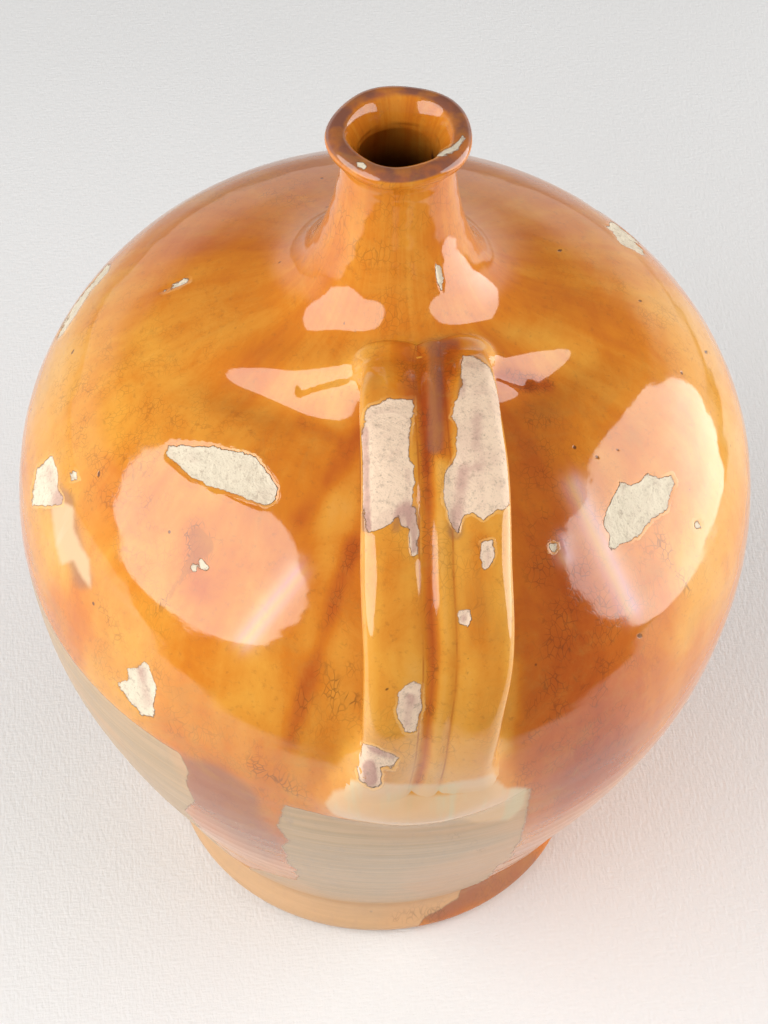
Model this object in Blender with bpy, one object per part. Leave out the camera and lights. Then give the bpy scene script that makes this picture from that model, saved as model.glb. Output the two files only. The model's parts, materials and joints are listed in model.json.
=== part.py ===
# Glazed earthenware oil jug with one strap handle.
# Metres, +Z up, origin at the centre of the flat underside, handle towards -Y.
# The jug is made as a potter makes it: thrown sections and a pulled strap, each piece
# joined to the next by a V-shaped scored joint or by a luting pad.

import math

import bmesh
import bpy
from mathutils import Vector

# Body
BELLY_RADIUS = 0.124
BELLY_HEIGHT = 0.165
FOOT_RADIUS = 0.0758
FOOT_ROUND = 0.0025
FOOT_EDGE_HEIGHT = 0.004
FOOT_SEAM_SHARE = 0.3
WAIST_RADIUS = 0.0732
WAIST_HEIGHT = 0.015
FLOOR_THICKNESS = 0.009
WALL = 0.0065

# Neck and lip
NECK_RADIUS = 0.0172
NECK_TOP_HEIGHT = 0.319
NECK_WALL = 0.005
LIP_RADIUS = 0.0223
LIP_HEIGHT = 0.011

# Joints between the pieces
CLEARANCE = 0.0003
RIDGE_HEIGHT = 0.0028
LIP_RIDGE_HEIGHT = 0.0016

# Thumb dents in the shoulder, beside the handle's upper root
DENT_DEPTH = 0.0036
DENT_WIDTH = 0.0075
DENT_LENGTH = 0.021
DENT_RADIUS = 0.058
DENT_LEFT_DEG = -52
DENT_RIGHT_DEG = 52
DENT_SLANT_DEG = 32
DENT_LIMIT_SHARE = 0.17

# Handle strap: how far it stands out past the belly, and its crest above its upper root
STRAP_WIDTH = 0.044
STRAP_THICKNESS = 0.0105
STRAP_OVERHANG = 0.010
STRAP_RISE = 0.0164
STRAP_TOP_SHIFT = 0.0055
STRAP_FOOT_SHIFT = -0.0035

# Luting clay at the handle's two ends
WAD_HALF_LENGTH = 0.063
WAD_HALF_WIDTH = 0.0120
WAD_CENTRE_RADIUS = 0.039
WAD_WING_HEIGHT = 0.0034
WAD_ROOT_HEIGHT = 0.0040
WAD_ROOT_HALF_LENGTH = 0.026
WAD_WING_THIN_SHARE = 0.4
PAD_HALF_WIDTH = 0.033
PAD_HALF_HEIGHT = 0.0125
PAD_DROP = 0.0065
PAD_THICKNESS = 0.0048
LUTE_SINK = 0.0016

# Facets
BODY_SIDES = 60
NECK_SIDES = 40
LUTE_SIDES = 36
LUTE_RINGS = 6
STRAP_STEPS = 26
OUTLINE_STEPS = 2
SHARP_EDGE_DEG = 40
MERGE_DISTANCE = 0.00003

# Outline of the lower wall, from the waist (0, 0) to the belly (1, 1): radius and height
LOWER_SHARES = (
    (0.065, 0.053),
    (0.173, 0.110),
    (0.390, 0.283),
    (0.656, 0.492),
    (0.870, 0.701),
    (0.955, 0.833),
)
# Outline of the upper wall and neck, from the belly (1, 0) to the neck's top (0, 1)
UPPER_SHARES = (
    (0.979, 0.162),
    (0.925, 0.276),
    (0.846, 0.370),
    (0.738, 0.458),
    (0.588, 0.536),
    (0.419, 0.594),
    (0.270, 0.633),
    (0.167, 0.669),
)
NECK_SHARES = (
    (0.101, 0.721),
    (0.059, 0.786),
    (0.028, 0.864),
    (0.008, 0.942),
)
# Lip: radius from the neck (0) to the lip's edge (1), height from the neck's top (0) to the lip's (1)
LIP_OUTER_SHARES = (
    (0.25, 0.32),
    (0.84, 0.55),
    (1.00, 0.77),
    (0.80, 0.94),
    (0.35, 1.00),
)
# Lip's inner side: radius from the bore (0) to the neck's outside (1)
LIP_INNER_SHARES = (
    (0.76, 0.84),
    (0.30, 0.54),
    (0.06, 0.18),
)
# Handle's outer line: radius from the upper root (0) to the handle's furthest reach (1), and
# height from the foot pad (0) to the crest (1). It starts and ends inside the clay.
STRAP_LINE_SHARES = (
    (-0.132, 0.821),
    (-0.039, 0.925),
    (0.194, 1.000),
    (0.515, 0.943),
    (0.793, 0.794),
    (0.956, 0.595),
    (1.000, 0.385),
    (0.968, 0.192),
    (0.900, 0.039),
    (0.802, -0.063),
)
# Width of the strap along its length, as a share of its full width
STRAP_WIDTH_SHARES = (0.80, 0.86, 0.95, 1.00, 1.00, 0.99, 0.96, 0.98, 1.12, 1.22)
# Thickness of the strap along its length: it is thinner where its root bends into the clay
STRAP_THICKNESS_SHARES = (0.60, 0.74, 1.00, 1.00, 1.00, 1.00, 1.00, 1.00, 1.00, 1.00)
# Cross-section: place across the width, and depth under the outer line as a share of the thickness
STRAP_SECTION_SHARES = (
    (-0.500, 0.50),
    (-0.485, 0.28),
    (-0.430, 0.10),
    (-0.330, 0.00),
    (-0.220, 0.00),
    (-0.130, 0.08),
    (-0.080, 0.24),
    (-0.030, 0.12),
    (0.030, 0.03),
    (0.075, 0.06),
    (0.105, 0.14),
    (0.150, 0.06),
    (0.250, 0.00),
    (0.360, 0.02),
    (0.440, 0.10),
    (0.485, 0.28),
    (0.500, 0.50),
    (0.480, 0.75),
    (0.400, 0.93),
    (0.200, 1.00),
    (-0.200, 1.00),
    (-0.400, 0.93),
    (-0.480, 0.75),
)
# Wings of the upper wad: how far their ends are drawn back towards the neck
WING_BACK_SHARE = 0.46

# Colours: linear RGB, roughness
FINISHES = {
    "foot_floor": ((0.50, 0.36, 0.25), 0.75),
    "lower_wall": ((0.52, 0.37, 0.26), 0.70),
    "upper_wall": ((0.70, 0.27, 0.045), 0.12),
    "neck": ((0.68, 0.24, 0.025), 0.12),
    "lip": ((0.24, 0.09, 0.03), 0.18),
    "handle_strap": ((0.66, 0.30, 0.025), 0.14),
    "handle_top_wad": ((0.72, 0.28, 0.045), 0.12),
    "handle_foot_pad": ((0.72, 0.48, 0.28), 0.25),
}


def clear_scene():
    for old in list(bpy.data.objects):
        bpy.data.objects.remove(old, do_unlink=True)


def between(start, end, share):
    return start + (end - start) * share


def smooth_curve(points, steps):
    """Points along a smooth curve through the given 2-D points, with this many steps a span."""
    count = len(points)
    slopes = []
    for i in range(count):
        before = points[max(i - 1, 0)]
        after = points[min(i + 1, count - 1)]
        reach_before = math.dist(before, points[i])
        reach_after = math.dist(points[i], after)
        span = reach_before + reach_after
        slopes.append([(b - a) / span for a, b in zip(before, after)])
    line = []
    for i in range(count - 1):
        length = math.dist(points[i], points[i + 1])
        for k in range(steps):
            t = k / steps
            h00 = (1 + 2 * t) * (1 - t) ** 2
            h10 = t * (1 - t) ** 2
            h01 = t * t * (3 - 2 * t)
            h11 = t * t * (t - 1)
            line.append(
                tuple(
                    h00 * points[i][j]
                    + h10 * length * slopes[i][j]
                    + h01 * points[i + 1][j]
                    + h11 * length * slopes[i + 1][j]
                    for j in range(2)
                )
            )
    line.append(tuple(points[-1]))
    return line


def lower_point(radius_share, height_share):
    return (
        between(WAIST_RADIUS, BELLY_RADIUS, radius_share),
        between(WAIST_HEIGHT, BELLY_HEIGHT, height_share),
    )


def upper_point(radius_share, height_share):
    return (
        between(NECK_RADIUS, BELLY_RADIUS, radius_share),
        between(BELLY_HEIGHT, NECK_TOP_HEIGHT, height_share),
    )


def lip_point(radius_share, height_share):
    return (
        between(NECK_RADIUS, LIP_RADIUS, radius_share),
        NECK_TOP_HEIGHT + LIP_HEIGHT * height_share,
    )


def bore_point(radius_share, height_share):
    return (
        between(NECK_RADIUS - NECK_WALL, NECK_RADIUS, radius_share),
        NECK_TOP_HEIGHT + LIP_HEIGHT * height_share,
    )


# The body's whole outline, from the foot's edge to the neck's top, and where each piece ends on it
foot_seam = (between(WAIST_RADIUS, FOOT_RADIUS, FOOT_SEAM_SHARE), FLOOR_THICKNESS)
outline_points = [
    (FOOT_RADIUS - FOOT_ROUND, 0.0),
    (FOOT_RADIUS, FOOT_EDGE_HEIGHT),
    foot_seam,
    (WAIST_RADIUS, WAIST_HEIGHT),
    *[lower_point(*share) for share in LOWER_SHARES],
    (BELLY_RADIUS, BELLY_HEIGHT),
    *[upper_point(*share) for share in UPPER_SHARES],
    *[upper_point(*share) for share in NECK_SHARES],
    (NECK_RADIUS, NECK_TOP_HEIGHT),
]
outline = smooth_curve(outline_points, OUTLINE_STEPS)
FOOT_SEAM = outline_points.index(foot_seam) * OUTLINE_STEPS
BELLY_SEAM = outline_points.index(lower_point(*LOWER_SHARES[-1])) * OUTLINE_STEPS
BELLY_TOP = outline_points.index((BELLY_RADIUS, BELLY_HEIGHT)) * OUTLINE_STEPS
NECK_SEAM = outline_points.index(upper_point(*UPPER_SHARES[-1])) * OUTLINE_STEPS
NECK_END = len(outline) - 1


def outline_normal(index):
    """The outward direction at a point of the outline, in radius and height."""
    before = outline[max(index - 1, 0)]
    after = outline[min(index + 1, NECK_END)]
    run = math.dist(before, after)
    return (after[1] - before[1]) / run, -(after[0] - before[0]) / run


def offset_point(index, distance):
    normal = outline_normal(index)
    return (
        outline[index][0] + normal[0] * distance,
        outline[index][1] + normal[1] * distance,
    )


def wall_at(index):
    """The wall thins evenly from the neck's seam to its top."""
    share = max(index - NECK_SEAM, 0) / (NECK_END - NECK_SEAM)
    return between(WALL, NECK_WALL, share)


def seam_face(index, shift, ridge_height):
    """A V-shaped joint face through the wall, from outside to inside, moved up the wall by shift.
    The floor's own seam is level."""
    outer = outline[index]
    normal = (1.0, 0.0) if index == FOOT_SEAM else outline_normal(index)
    along = (-normal[1], normal[0])
    inner = (outer[0] - normal[0] * wall_at(index), outer[1] - normal[1] * wall_at(index))
    face = []
    for share, rise in ((0.0, 0.0), (0.5, ridge_height), (1.0, 0.0)):
        face.append(
            (
                between(outer[0], inner[0], share) + along[0] * (rise + shift),
                between(outer[1], inner[1], share) + along[1] * (rise + shift),
            )
        )
    return face


def seam_shift(index, ridge_height):
    """How far one side of a V joint moves along the wall, so that its faces stay clear."""
    half = wall_at(index) / 2
    return CLEARANCE * math.hypot(half, ridge_height) / half


def wall_profile(first, last, first_ridge, last_ridge):
    """A closed profile of one wall piece between two seams, as points in radius and height."""
    start = seam_face(first, seam_shift(first, first_ridge), first_ridge)
    end = seam_face(last, 0.0, last_ridge)
    outside = [outline[i] for i in range(first + 1, last)]
    inside = [offset_point(i, -wall_at(i)) for i in range(last - OUTLINE_STEPS, first, -OUTLINE_STEPS)]
    return [start[0], *outside, *end, *inside, start[2], start[1]]


def spun(profile, sides, closed=True):
    """A bmesh of a profile turned once round the Z axis."""
    mesh = bmesh.new()
    ring = [mesh.verts.new((radius, 0.0, height)) for radius, height in profile]
    pairs = list(zip(ring, ring[1:]))
    if closed:
        pairs.append((ring[-1], ring[0]))
    edges = [mesh.edges.new(pair) for pair in pairs]
    bmesh.ops.spin(
        mesh,
        geom=ring + edges,
        cent=(0, 0, 0),
        axis=(0, 0, 1),
        angle=math.tau,
        steps=sides,
    )
    bmesh.ops.remove_doubles(mesh, verts=mesh.verts, dist=MERGE_DISTANCE)
    bmesh.ops.recalc_face_normals(mesh, faces=mesh.faces)
    return mesh


def dent_depth(point):
    """How deep the two thumb dents are at a point of the shoulder."""
    depth = 0.0
    slant = math.radians(DENT_SLANT_DEG)
    for degrees in (DENT_LEFT_DEG, DENT_RIGHT_DEG):
        turn = math.radians(degrees)
        centre = Vector((math.sin(turn), -math.cos(turn), 0)) * DENT_RADIUS
        away = Vector((point.x, point.y, 0)) - centre
        side = 1 if degrees > 0 else -1
        along = Vector((side * math.cos(slant), math.sin(slant), 0))
        run = away.dot(along) / DENT_LENGTH
        across = away.dot(Vector((-along.y, along.x, 0))) / DENT_WIDTH
        depth += DENT_DEPTH * math.exp(-run * run - across * across)
    return depth


def press_dents(mesh, grown=0.0):
    """Presses the dents into the outer side of the shoulder."""
    low = outline[BELLY_SEAM][1] + WALL
    for vertex in mesh.verts:
        spot = vertex.co
        radius = math.hypot(spot.x, spot.y)
        if spot.z < low or radius < between(NECK_RADIUS, BELLY_RADIUS, DENT_LIMIT_SHARE):
            continue
        surface, normal = body_surface(spot.z)
        gap = abs(radius - surface[0]) * abs(normal[0])
        if gap <= grown + CLEARANCE:
            outward = Vector((spot.x / radius * normal[0], spot.y / radius * normal[0], normal[1]))
            vertex.co = spot - outward * dent_depth(spot)


def body_surface(height):
    """The body's outer point at a height, and the outward direction there."""
    for i in range(NECK_END):
        low, high = outline[i][1], outline[i + 1][1]
        if low <= height <= high:
            share = (height - low) / (high - low)
            point = (between(outline[i][0], outline[i + 1][0], share), height)
            first, second = outline_normal(i), outline_normal(i + 1)
            normal = Vector((between(first[0], second[0], share), between(first[1], second[1], share)))
            return point, normal.normalized()
    return outline[NECK_END], Vector(outline_normal(NECK_END))


def height_at_radius(radius):
    """The shoulder's height at a radius."""
    for i in range(BELLY_TOP, NECK_END):
        far, near = outline[i][0], outline[i + 1][0]
        if near <= radius <= far:
            return between(outline[i][1], outline[i + 1][1], (far - radius) / (far - near))
    return NECK_TOP_HEIGHT


def make_object(name, mesh, helper=False):
    data = bpy.data.meshes.new(name)
    mesh.to_mesh(data)
    mesh.free()
    made = bpy.data.objects.new(name, data)
    bpy.context.scene.collection.objects.link(made)
    if helper:
        made.hide_render = True
        made.display_type = "WIRE"
        return made
    colour, roughness = FINISHES[name]
    material = bpy.data.materials.new(name)
    material.use_nodes = True
    shader = material.node_tree.nodes["Principled BSDF"]
    shader.inputs["Base Color"].default_value = (*colour, 1.0)
    shader.inputs["Roughness"].default_value = roughness
    shader.inputs["Metallic"].default_value = 0.0
    data.materials.append(material)
    data.shade_smooth()
    data.set_sharp_from_angle(angle=math.radians(SHARP_EDGE_DEG))
    return made


def cut_away(piece, cutter):
    cut = piece.modifiers.new(cutter.name, "BOOLEAN")
    cut.operation = "DIFFERENCE"
    cut.solver = "EXACT"
    cut.object = cutter


def make_foot_floor():
    """The floor slab: flat underside, rounded foot edge, and a V ridge that the wall stands on."""
    seam = seam_face(FOOT_SEAM, 0.0, RIDGE_HEIGHT)
    profile = [(0.0, 0.0), *outline[:FOOT_SEAM], *seam, (0.0, FLOOR_THICKNESS)]
    return make_object("foot_floor", spun(profile, BODY_SIDES, closed=False))


def make_walls():
    lower = wall_profile(FOOT_SEAM, BELLY_SEAM, RIDGE_HEIGHT, RIDGE_HEIGHT)
    make_object("lower_wall", spun(lower, BODY_SIDES))
    upper = wall_profile(BELLY_SEAM, NECK_SEAM, RIDGE_HEIGHT, RIDGE_HEIGHT)
    shoulder = spun(upper, BODY_SIDES)
    press_dents(shoulder)
    make_object("upper_wall", shoulder)
    neck = wall_profile(NECK_SEAM, NECK_END, RIDGE_HEIGHT, LIP_RIDGE_HEIGHT)
    make_object("neck", spun(neck, NECK_SIDES))


def make_lip():
    """The rolled lip: out under its edge, round it, and down the funnel into the bore."""
    start = seam_face(NECK_END, seam_shift(NECK_END, LIP_RIDGE_HEIGHT), LIP_RIDGE_HEIGHT)
    edge = smooth_curve([start[0], *[lip_point(*share) for share in LIP_OUTER_SHARES]], OUTLINE_STEPS)
    funnel = [bore_point(*share) for share in LIP_INNER_SHARES]
    profile = [*edge, *funnel, start[2], start[1]]
    return make_object("lip", spun(profile, NECK_SIDES))


def body_cutter():
    """The whole body, solid and grown by the clearance, for trimming what is luted on to it."""
    profile = [offset_point(i, CLEARANCE) for i in range(FOOT_SEAM, NECK_END + 1)]
    mesh = spun([(0.0, profile[0][1]), *profile, (0.0, profile[-1][1])], BODY_SIDES, closed=False)
    press_dents(mesh, grown=CLEARANCE)
    return make_object("body_cutter", mesh, helper=True)


def lute(name, place, height, grown=0.0, helper=False):
    """A patch of clay on the body. place gives a point and its outward direction for a spot of
    the unit disc, and height how far the clay stands out there."""
    mesh = bmesh.new()
    sheets = []
    for top in (True, False):
        point, outward = place(0.0, 0.0)
        rise = height(0.0, 0.0) + grown if top else -LUTE_SINK
        rings = [[mesh.verts.new(point + outward * rise)]]
        for ring in range(1, LUTE_RINGS + 1):
            away = ring / LUTE_RINGS
            loop = []
            for side in range(LUTE_SIDES):
                turn = math.tau * side / LUTE_SIDES
                spot = (away * math.cos(turn), away * math.sin(turn))
                point, outward = place(*spot)
                rise = height(*spot) + grown if top else -LUTE_SINK
                loop.append(mesh.verts.new(point + outward * rise))
            rings.append(loop)
        sheets.append(rings)
        for ring, following in zip(rings[1:], rings[2:]):
            for k in range(LUTE_SIDES):
                after = (k + 1) % LUTE_SIDES
                mesh.faces.new((ring[k], ring[after], following[after], following[k]))
        for k in range(LUTE_SIDES):
            mesh.faces.new((rings[0][0], rings[1][k], rings[1][(k + 1) % LUTE_SIDES]))
    upper, under = sheets[0][-1], sheets[1][-1]
    for k in range(LUTE_SIDES):
        after = (k + 1) % LUTE_SIDES
        mesh.faces.new((upper[k], upper[after], under[after], under[k]))
    bmesh.ops.triangulate(mesh, faces=mesh.faces)
    bmesh.ops.recalc_face_normals(mesh, faces=mesh.faces)
    return make_object(name, mesh, helper)


def dome(away):
    """Full in the middle, and steep only near the edge."""
    return 1 - away**3


def make_top_wad(name, grown=0.0, helper=False):
    """The upper luting clay, a long low wad bent round the neck's foot, drawn out into two wings."""

    def place(u, v):
        x = u * (WAD_HALF_LENGTH + grown)
        back = WAD_CENTRE_RADIUS * WING_BACK_SHARE * u * u
        y = back - WAD_CENTRE_RADIUS + v * (WAD_HALF_WIDTH + grown)
        radius = math.hypot(x, y)
        point, normal = body_surface(height_at_radius(radius))
        outward = Vector((x / radius * normal[0], y / radius * normal[0], normal[1]))
        return Vector((x, y, point[1])), outward

    def height(u, v):
        root = u * WAD_HALF_LENGTH / WAD_ROOT_HALF_LENGTH
        full = WAD_WING_HEIGHT * (1 - WAD_WING_THIN_SHARE * u * u) + WAD_ROOT_HEIGHT * math.exp(-root * root)
        return between(-LUTE_SINK / 2, full, dome(math.hypot(u, v)))

    return lute(name, place, height, grown, helper)


def make_foot_pad(name, grown=0.0, helper=False):
    """The lower luting pad, spread on the belly under the handle's end."""
    pad_height = BELLY_HEIGHT - PAD_DROP

    def place(u, v):
        level = pad_height + v * (PAD_HALF_HEIGHT + grown)
        point, normal = body_surface(level)
        turn = u * (PAD_HALF_WIDTH + grown) / BELLY_RADIUS
        around = Vector((math.sin(turn), -math.cos(turn), 0))
        return around * point[0] + Vector((0, 0, level)), around * normal[0] + Vector((0, 0, normal[1]))

    def height(u, v):
        return between(-LUTE_SINK / 2, PAD_THICKNESS, dome(math.hypot(u, v)))

    return lute(name, place, height, grown, helper)


def strap_line():
    """The handle's outer line in radius and height, with its width and thickness at each point."""
    reach = BELLY_RADIUS + STRAP_OVERHANG
    foot = BELLY_HEIGHT - PAD_DROP
    crest = height_at_radius(WAD_CENTRE_RADIUS) + STRAP_RISE
    points = []
    for radius_share, height_share in STRAP_LINE_SHARES:
        radius = between(WAD_CENTRE_RADIUS, reach, radius_share)
        points.append((radius, between(foot, crest, height_share)))
    spans = len(points) - 1
    steps = max(1, round(STRAP_STEPS / spans))
    line = smooth_curve(points, steps)
    widths = smooth_curve(list(enumerate(STRAP_WIDTH_SHARES)), steps)
    depths = smooth_curve(list(enumerate(STRAP_THICKNESS_SHARES)), steps)
    return line, [STRAP_WIDTH * width[1] for width in widths], [STRAP_THICKNESS * depth[1] for depth in depths]


def make_strap():
    """The pulled strap: its ribbed section carried along the handle's line."""
    line, widths, depths = strap_line()
    mesh = bmesh.new()
    loops = []
    for i, (radius, height) in enumerate(line):
        before, after = line[max(i - 1, 0)], line[min(i + 1, len(line) - 1)]
        run = math.dist(before, after)
        inward = Vector((0, (after[1] - before[1]) / run, (after[0] - before[0]) / run)) * -1
        along = i / (len(line) - 1)
        centre = Vector((between(STRAP_TOP_SHIFT, STRAP_FOOT_SHIFT, along), -radius, height))
        loop = []
        for across, depth in STRAP_SECTION_SHARES:
            side = Vector((across * widths[i], 0, 0))
            loop.append(mesh.verts.new(centre + side + inward * depth * depths[i]))
        loops.append(loop)
    count = len(STRAP_SECTION_SHARES)
    for loop, following in zip(loops, loops[1:]):
        for k in range(count):
            after = (k + 1) % count
            mesh.faces.new((loop[k], loop[after], following[after], following[k]))
    mesh.faces.new(loops[0])
    mesh.faces.new(loops[-1])
    bmesh.ops.triangulate(mesh, faces=mesh.faces)
    bmesh.ops.recalc_face_normals(mesh, faces=mesh.faces)
    return make_object("handle_strap", mesh)


def make_handle():
    body = body_cutter()
    wad = make_top_wad("handle_top_wad")
    cut_away(wad, body)
    pad = make_foot_pad("handle_foot_pad")
    cut_away(pad, body)
    strap = make_strap()
    cut_away(strap, body)
    cut_away(strap, make_top_wad("wad_cutter", grown=CLEARANCE, helper=True))
    cut_away(strap, make_foot_pad("pad_cutter", grown=CLEARANCE, helper=True))


clear_scene()
make_foot_floor()
make_walls()
make_lip()
make_handle()
print("Oil jug: body, neck, lip and handle made")
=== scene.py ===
import json
import math

import bpy
import numpy as np
from mathutils import Matrix, Vector

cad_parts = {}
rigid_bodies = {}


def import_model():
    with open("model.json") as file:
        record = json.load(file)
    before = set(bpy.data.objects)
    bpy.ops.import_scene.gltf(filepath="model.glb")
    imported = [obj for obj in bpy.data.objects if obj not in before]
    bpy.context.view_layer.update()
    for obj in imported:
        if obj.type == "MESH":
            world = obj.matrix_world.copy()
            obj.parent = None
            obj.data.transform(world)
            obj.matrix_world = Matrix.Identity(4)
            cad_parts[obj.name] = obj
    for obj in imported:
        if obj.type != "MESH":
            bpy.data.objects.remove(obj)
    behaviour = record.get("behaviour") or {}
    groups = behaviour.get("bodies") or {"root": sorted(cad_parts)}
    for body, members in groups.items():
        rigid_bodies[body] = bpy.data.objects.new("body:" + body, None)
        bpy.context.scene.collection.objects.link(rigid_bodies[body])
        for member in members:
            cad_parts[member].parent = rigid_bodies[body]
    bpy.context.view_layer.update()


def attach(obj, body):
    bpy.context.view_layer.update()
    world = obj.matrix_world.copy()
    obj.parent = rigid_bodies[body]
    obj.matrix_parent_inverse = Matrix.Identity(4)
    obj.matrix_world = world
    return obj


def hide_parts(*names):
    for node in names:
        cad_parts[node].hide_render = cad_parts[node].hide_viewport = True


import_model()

# An old glazed earthenware oil jug. Metres, +Z up, handle towards -Y.
# An azimuth runs from the handle's side towards +X, in degrees.

view = {
    "place": (-0.0831, -0.5911, 0.8679),
    "turn": 8.0,  # to the right of the handle, in degrees
    "pitch": 50.11,  # downwards
    "roll": 2.33,
    "lens": 94.92,
    "sensor": 36.0,
    "width": 768,
    "height": 1024,
}


def cameraAxes():
    turn, pitch, roll = (math.radians(view[key]) for key in ("turn", "pitch", "roll"))
    ahead = np.array((math.sin(turn) * math.cos(pitch), math.cos(turn) * math.cos(pitch), -math.sin(pitch)))
    level = np.array((math.cos(turn), -math.sin(turn), 0.0))
    upright = np.array((math.sin(turn) * math.sin(pitch), math.cos(turn) * math.sin(pitch), math.cos(pitch)))
    right = math.cos(roll) * level + math.sin(roll) * upright
    up = math.cos(roll) * upright - math.sin(roll) * level
    return right, up, ahead


def makeCamera():
    right, up, ahead = cameraAxes()
    data = bpy.data.cameras.new("camera")
    data.lens = view["lens"]
    data.sensor_width = view["sensor"]
    camera = bpy.data.objects.new("camera", data)
    turned = Matrix((right, up, -ahead)).transposed().to_4x4()
    camera.matrix_world = Matrix.Translation(view["place"]) @ turned
    bpy.context.scene.collection.objects.link(camera)
    bpy.context.scene.camera = camera


def inPicture(points):
    # where points stand in the picture, in pixels, and how many pixels a metre takes there
    right, up, ahead = cameraAxes()
    away = points - np.array(view["place"])
    scale = view["lens"] / view["sensor"] * view["height"] / (away @ ahead)
    across = view["width"] / 2 + (away @ right) * scale
    down = view["height"] / 2 - (away @ up) * scale
    return np.stack((across, down), 1), scale


def facing(points, normals):
    # 1 where the surface looks straight at the camera, below 0 where it looks away
    away = np.array(view["place"]) - points
    away /= np.linalg.norm(away, axis=1)[:, None]
    return (away * normals).sum(1)


# Helpers for modelling
mergeDistance = 0.00001


def selectOnly(piece):
    bpy.ops.object.select_all(action="DESELECT")
    piece.select_set(True)
    bpy.context.view_layer.objects.active = piece


def drawLine(name, points, closed=False):
    # a line drawn point by point: one point, then an extrusion to each next one
    bpy.ops.object.select_all(action="DESELECT")
    bpy.ops.mesh.primitive_plane_add(size=0.01)
    piece = bpy.context.object
    piece.name = name
    bpy.ops.object.mode_set(mode="EDIT")
    bpy.ops.mesh.select_mode(type="VERT")
    bpy.ops.mesh.select_all(action="SELECT")
    bpy.ops.mesh.merge(type="CENTER")
    bpy.ops.transform.translate(value=points[0])
    stops = list(points) + ([points[0]] if closed else [])
    for here, there in zip(stops, stops[1:]):
        step = [b - a for a, b in zip(here, there)]
        bpy.ops.mesh.extrude_region_move(TRANSFORM_OT_translate={"value": step})
    if closed:
        bpy.ops.mesh.select_all(action="SELECT")
        bpy.ops.mesh.remove_doubles(threshold=mergeDistance)
    bpy.ops.object.mode_set(mode="OBJECT")
    return piece


def readPoints(mesh):
    flat = np.empty(len(mesh.vertices) * 3)
    mesh.vertices.foreach_get("co", flat)
    return flat.reshape(-1, 3)


def readNormals(mesh):
    flat = np.empty(len(mesh.vertices) * 3)
    mesh.vertex_normals.foreach_get("vector", flat)
    return flat.reshape(-1, 3)


def writePoints(mesh, points):
    mesh.vertices.foreach_set("co", points.ravel())
    mesh.update()


def storeValues(mesh, name, values):
    # one number for each point of a mesh, for a material or a later step
    if name not in mesh.attributes:
        mesh.attributes.new(name, "FLOAT", "POINT")
    mesh.attributes[name].data.foreach_set("value", np.asarray(values, dtype=float).ravel())


def readValues(mesh, name):
    values = np.empty(len(mesh.vertices))
    mesh.attributes[name].data.foreach_get("value", values)
    return values


def storeVectors(mesh, name, vectors):
    if name not in mesh.attributes:
        mesh.attributes.new(name, "FLOAT_VECTOR", "POINT")
    mesh.attributes[name].data.foreach_set("vector", np.asarray(vectors, dtype=float).ravel())


def readVectors(mesh, name):
    flat = np.empty(len(mesh.vertices) * 3)
    mesh.attributes[name].data.foreach_get("vector", flat)
    return flat.reshape(-1, 3)


def useStoredNormals(mesh):
    # pieces that were one surface keep its normals, so no seam shows between them
    mesh.normals_split_custom_set_from_vertices(readVectors(mesh, "wholeNormal").tolist())
    mesh.attributes.remove(mesh.attributes["wholeNormal"])


def facePlaces(mesh, values):
    # the mean of a value over each face
    starts = np.empty(len(mesh.polygons), dtype=int)
    mesh.polygons.foreach_get("loop_start", starts)
    corners = np.empty(len(mesh.loops), dtype=int)
    mesh.loops.foreach_get("vertex_index", corners)
    counts = np.diff(np.append(starts, len(corners)))
    return np.add.reduceat(values[corners], starts) / counts


def selectFaces(mesh, wanted):
    mesh.vertices.foreach_set("select", np.zeros(len(mesh.vertices), dtype=bool))
    mesh.edges.foreach_set("select", np.zeros(len(mesh.edges), dtype=bool))
    mesh.polygons.foreach_set("select", wanted)


def takeFaces(piece, name, wanted):
    # cuts the chosen faces out into a piece of their own
    selectFaces(piece.data, wanted)
    selectOnly(piece)
    before = set(bpy.data.objects)
    bpy.ops.object.mode_set(mode="EDIT")
    bpy.ops.mesh.select_mode(type="FACE")
    bpy.ops.mesh.separate(type="SELECTED")
    bpy.ops.object.mode_set(mode="OBJECT")
    part = (set(bpy.data.objects) - before).pop()
    part.name = name
    part.data.name = name
    return part


def closeEnd(piece, rings, values):
    # bridges the two open rings of one end: rings gives the value that each ring has
    mesh = piece.data
    ends = np.empty(len(mesh.edges) * 2, dtype=int)
    mesh.edges.foreach_get("vertices", ends)
    ends = ends.reshape(-1, 2)
    used = np.empty(len(mesh.loops), dtype=int)
    mesh.loops.foreach_get("edge_index", used)
    isOpen = np.bincount(used, minlength=len(mesh.edges)) == 1
    near = np.zeros(len(mesh.edges), dtype=bool)
    for ring in rings:
        near |= np.abs(values[ends] - ring).max(1) < 0.5
    mesh.vertices.foreach_set("select", np.zeros(len(mesh.vertices), dtype=bool))
    mesh.polygons.foreach_set("select", np.zeros(len(mesh.polygons), dtype=bool))
    mesh.edges.foreach_set("select", isOpen & near)
    selectOnly(piece)
    bpy.ops.object.mode_set(mode="EDIT")
    bpy.ops.mesh.select_mode(type="EDGE")
    bpy.ops.mesh.bridge_edge_loops()
    bpy.ops.object.mode_set(mode="OBJECT")


def pointOutwards(piece):
    selectOnly(piece)
    bpy.ops.object.mode_set(mode="EDIT")
    bpy.ops.mesh.select_all(action="SELECT")
    bpy.ops.mesh.normals_make_consistent(inside=False)
    bpy.ops.object.mode_set(mode="OBJECT")
    bpy.ops.object.shade_smooth()


def between(start, end, share):
    return start + (end - start) * share


def azimuthOf(points):
    # the angle round the jug, from the handle's side towards +X, in radians
    return np.arctan2(points[:, 0], -points[:, 1])


def ease(values, low, high):
    # 0 up to low, 1 from high, smooth between
    t = np.clip((values - low) / (high - low), 0, 1)
    return t * t * (3 - 2 * t)


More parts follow.
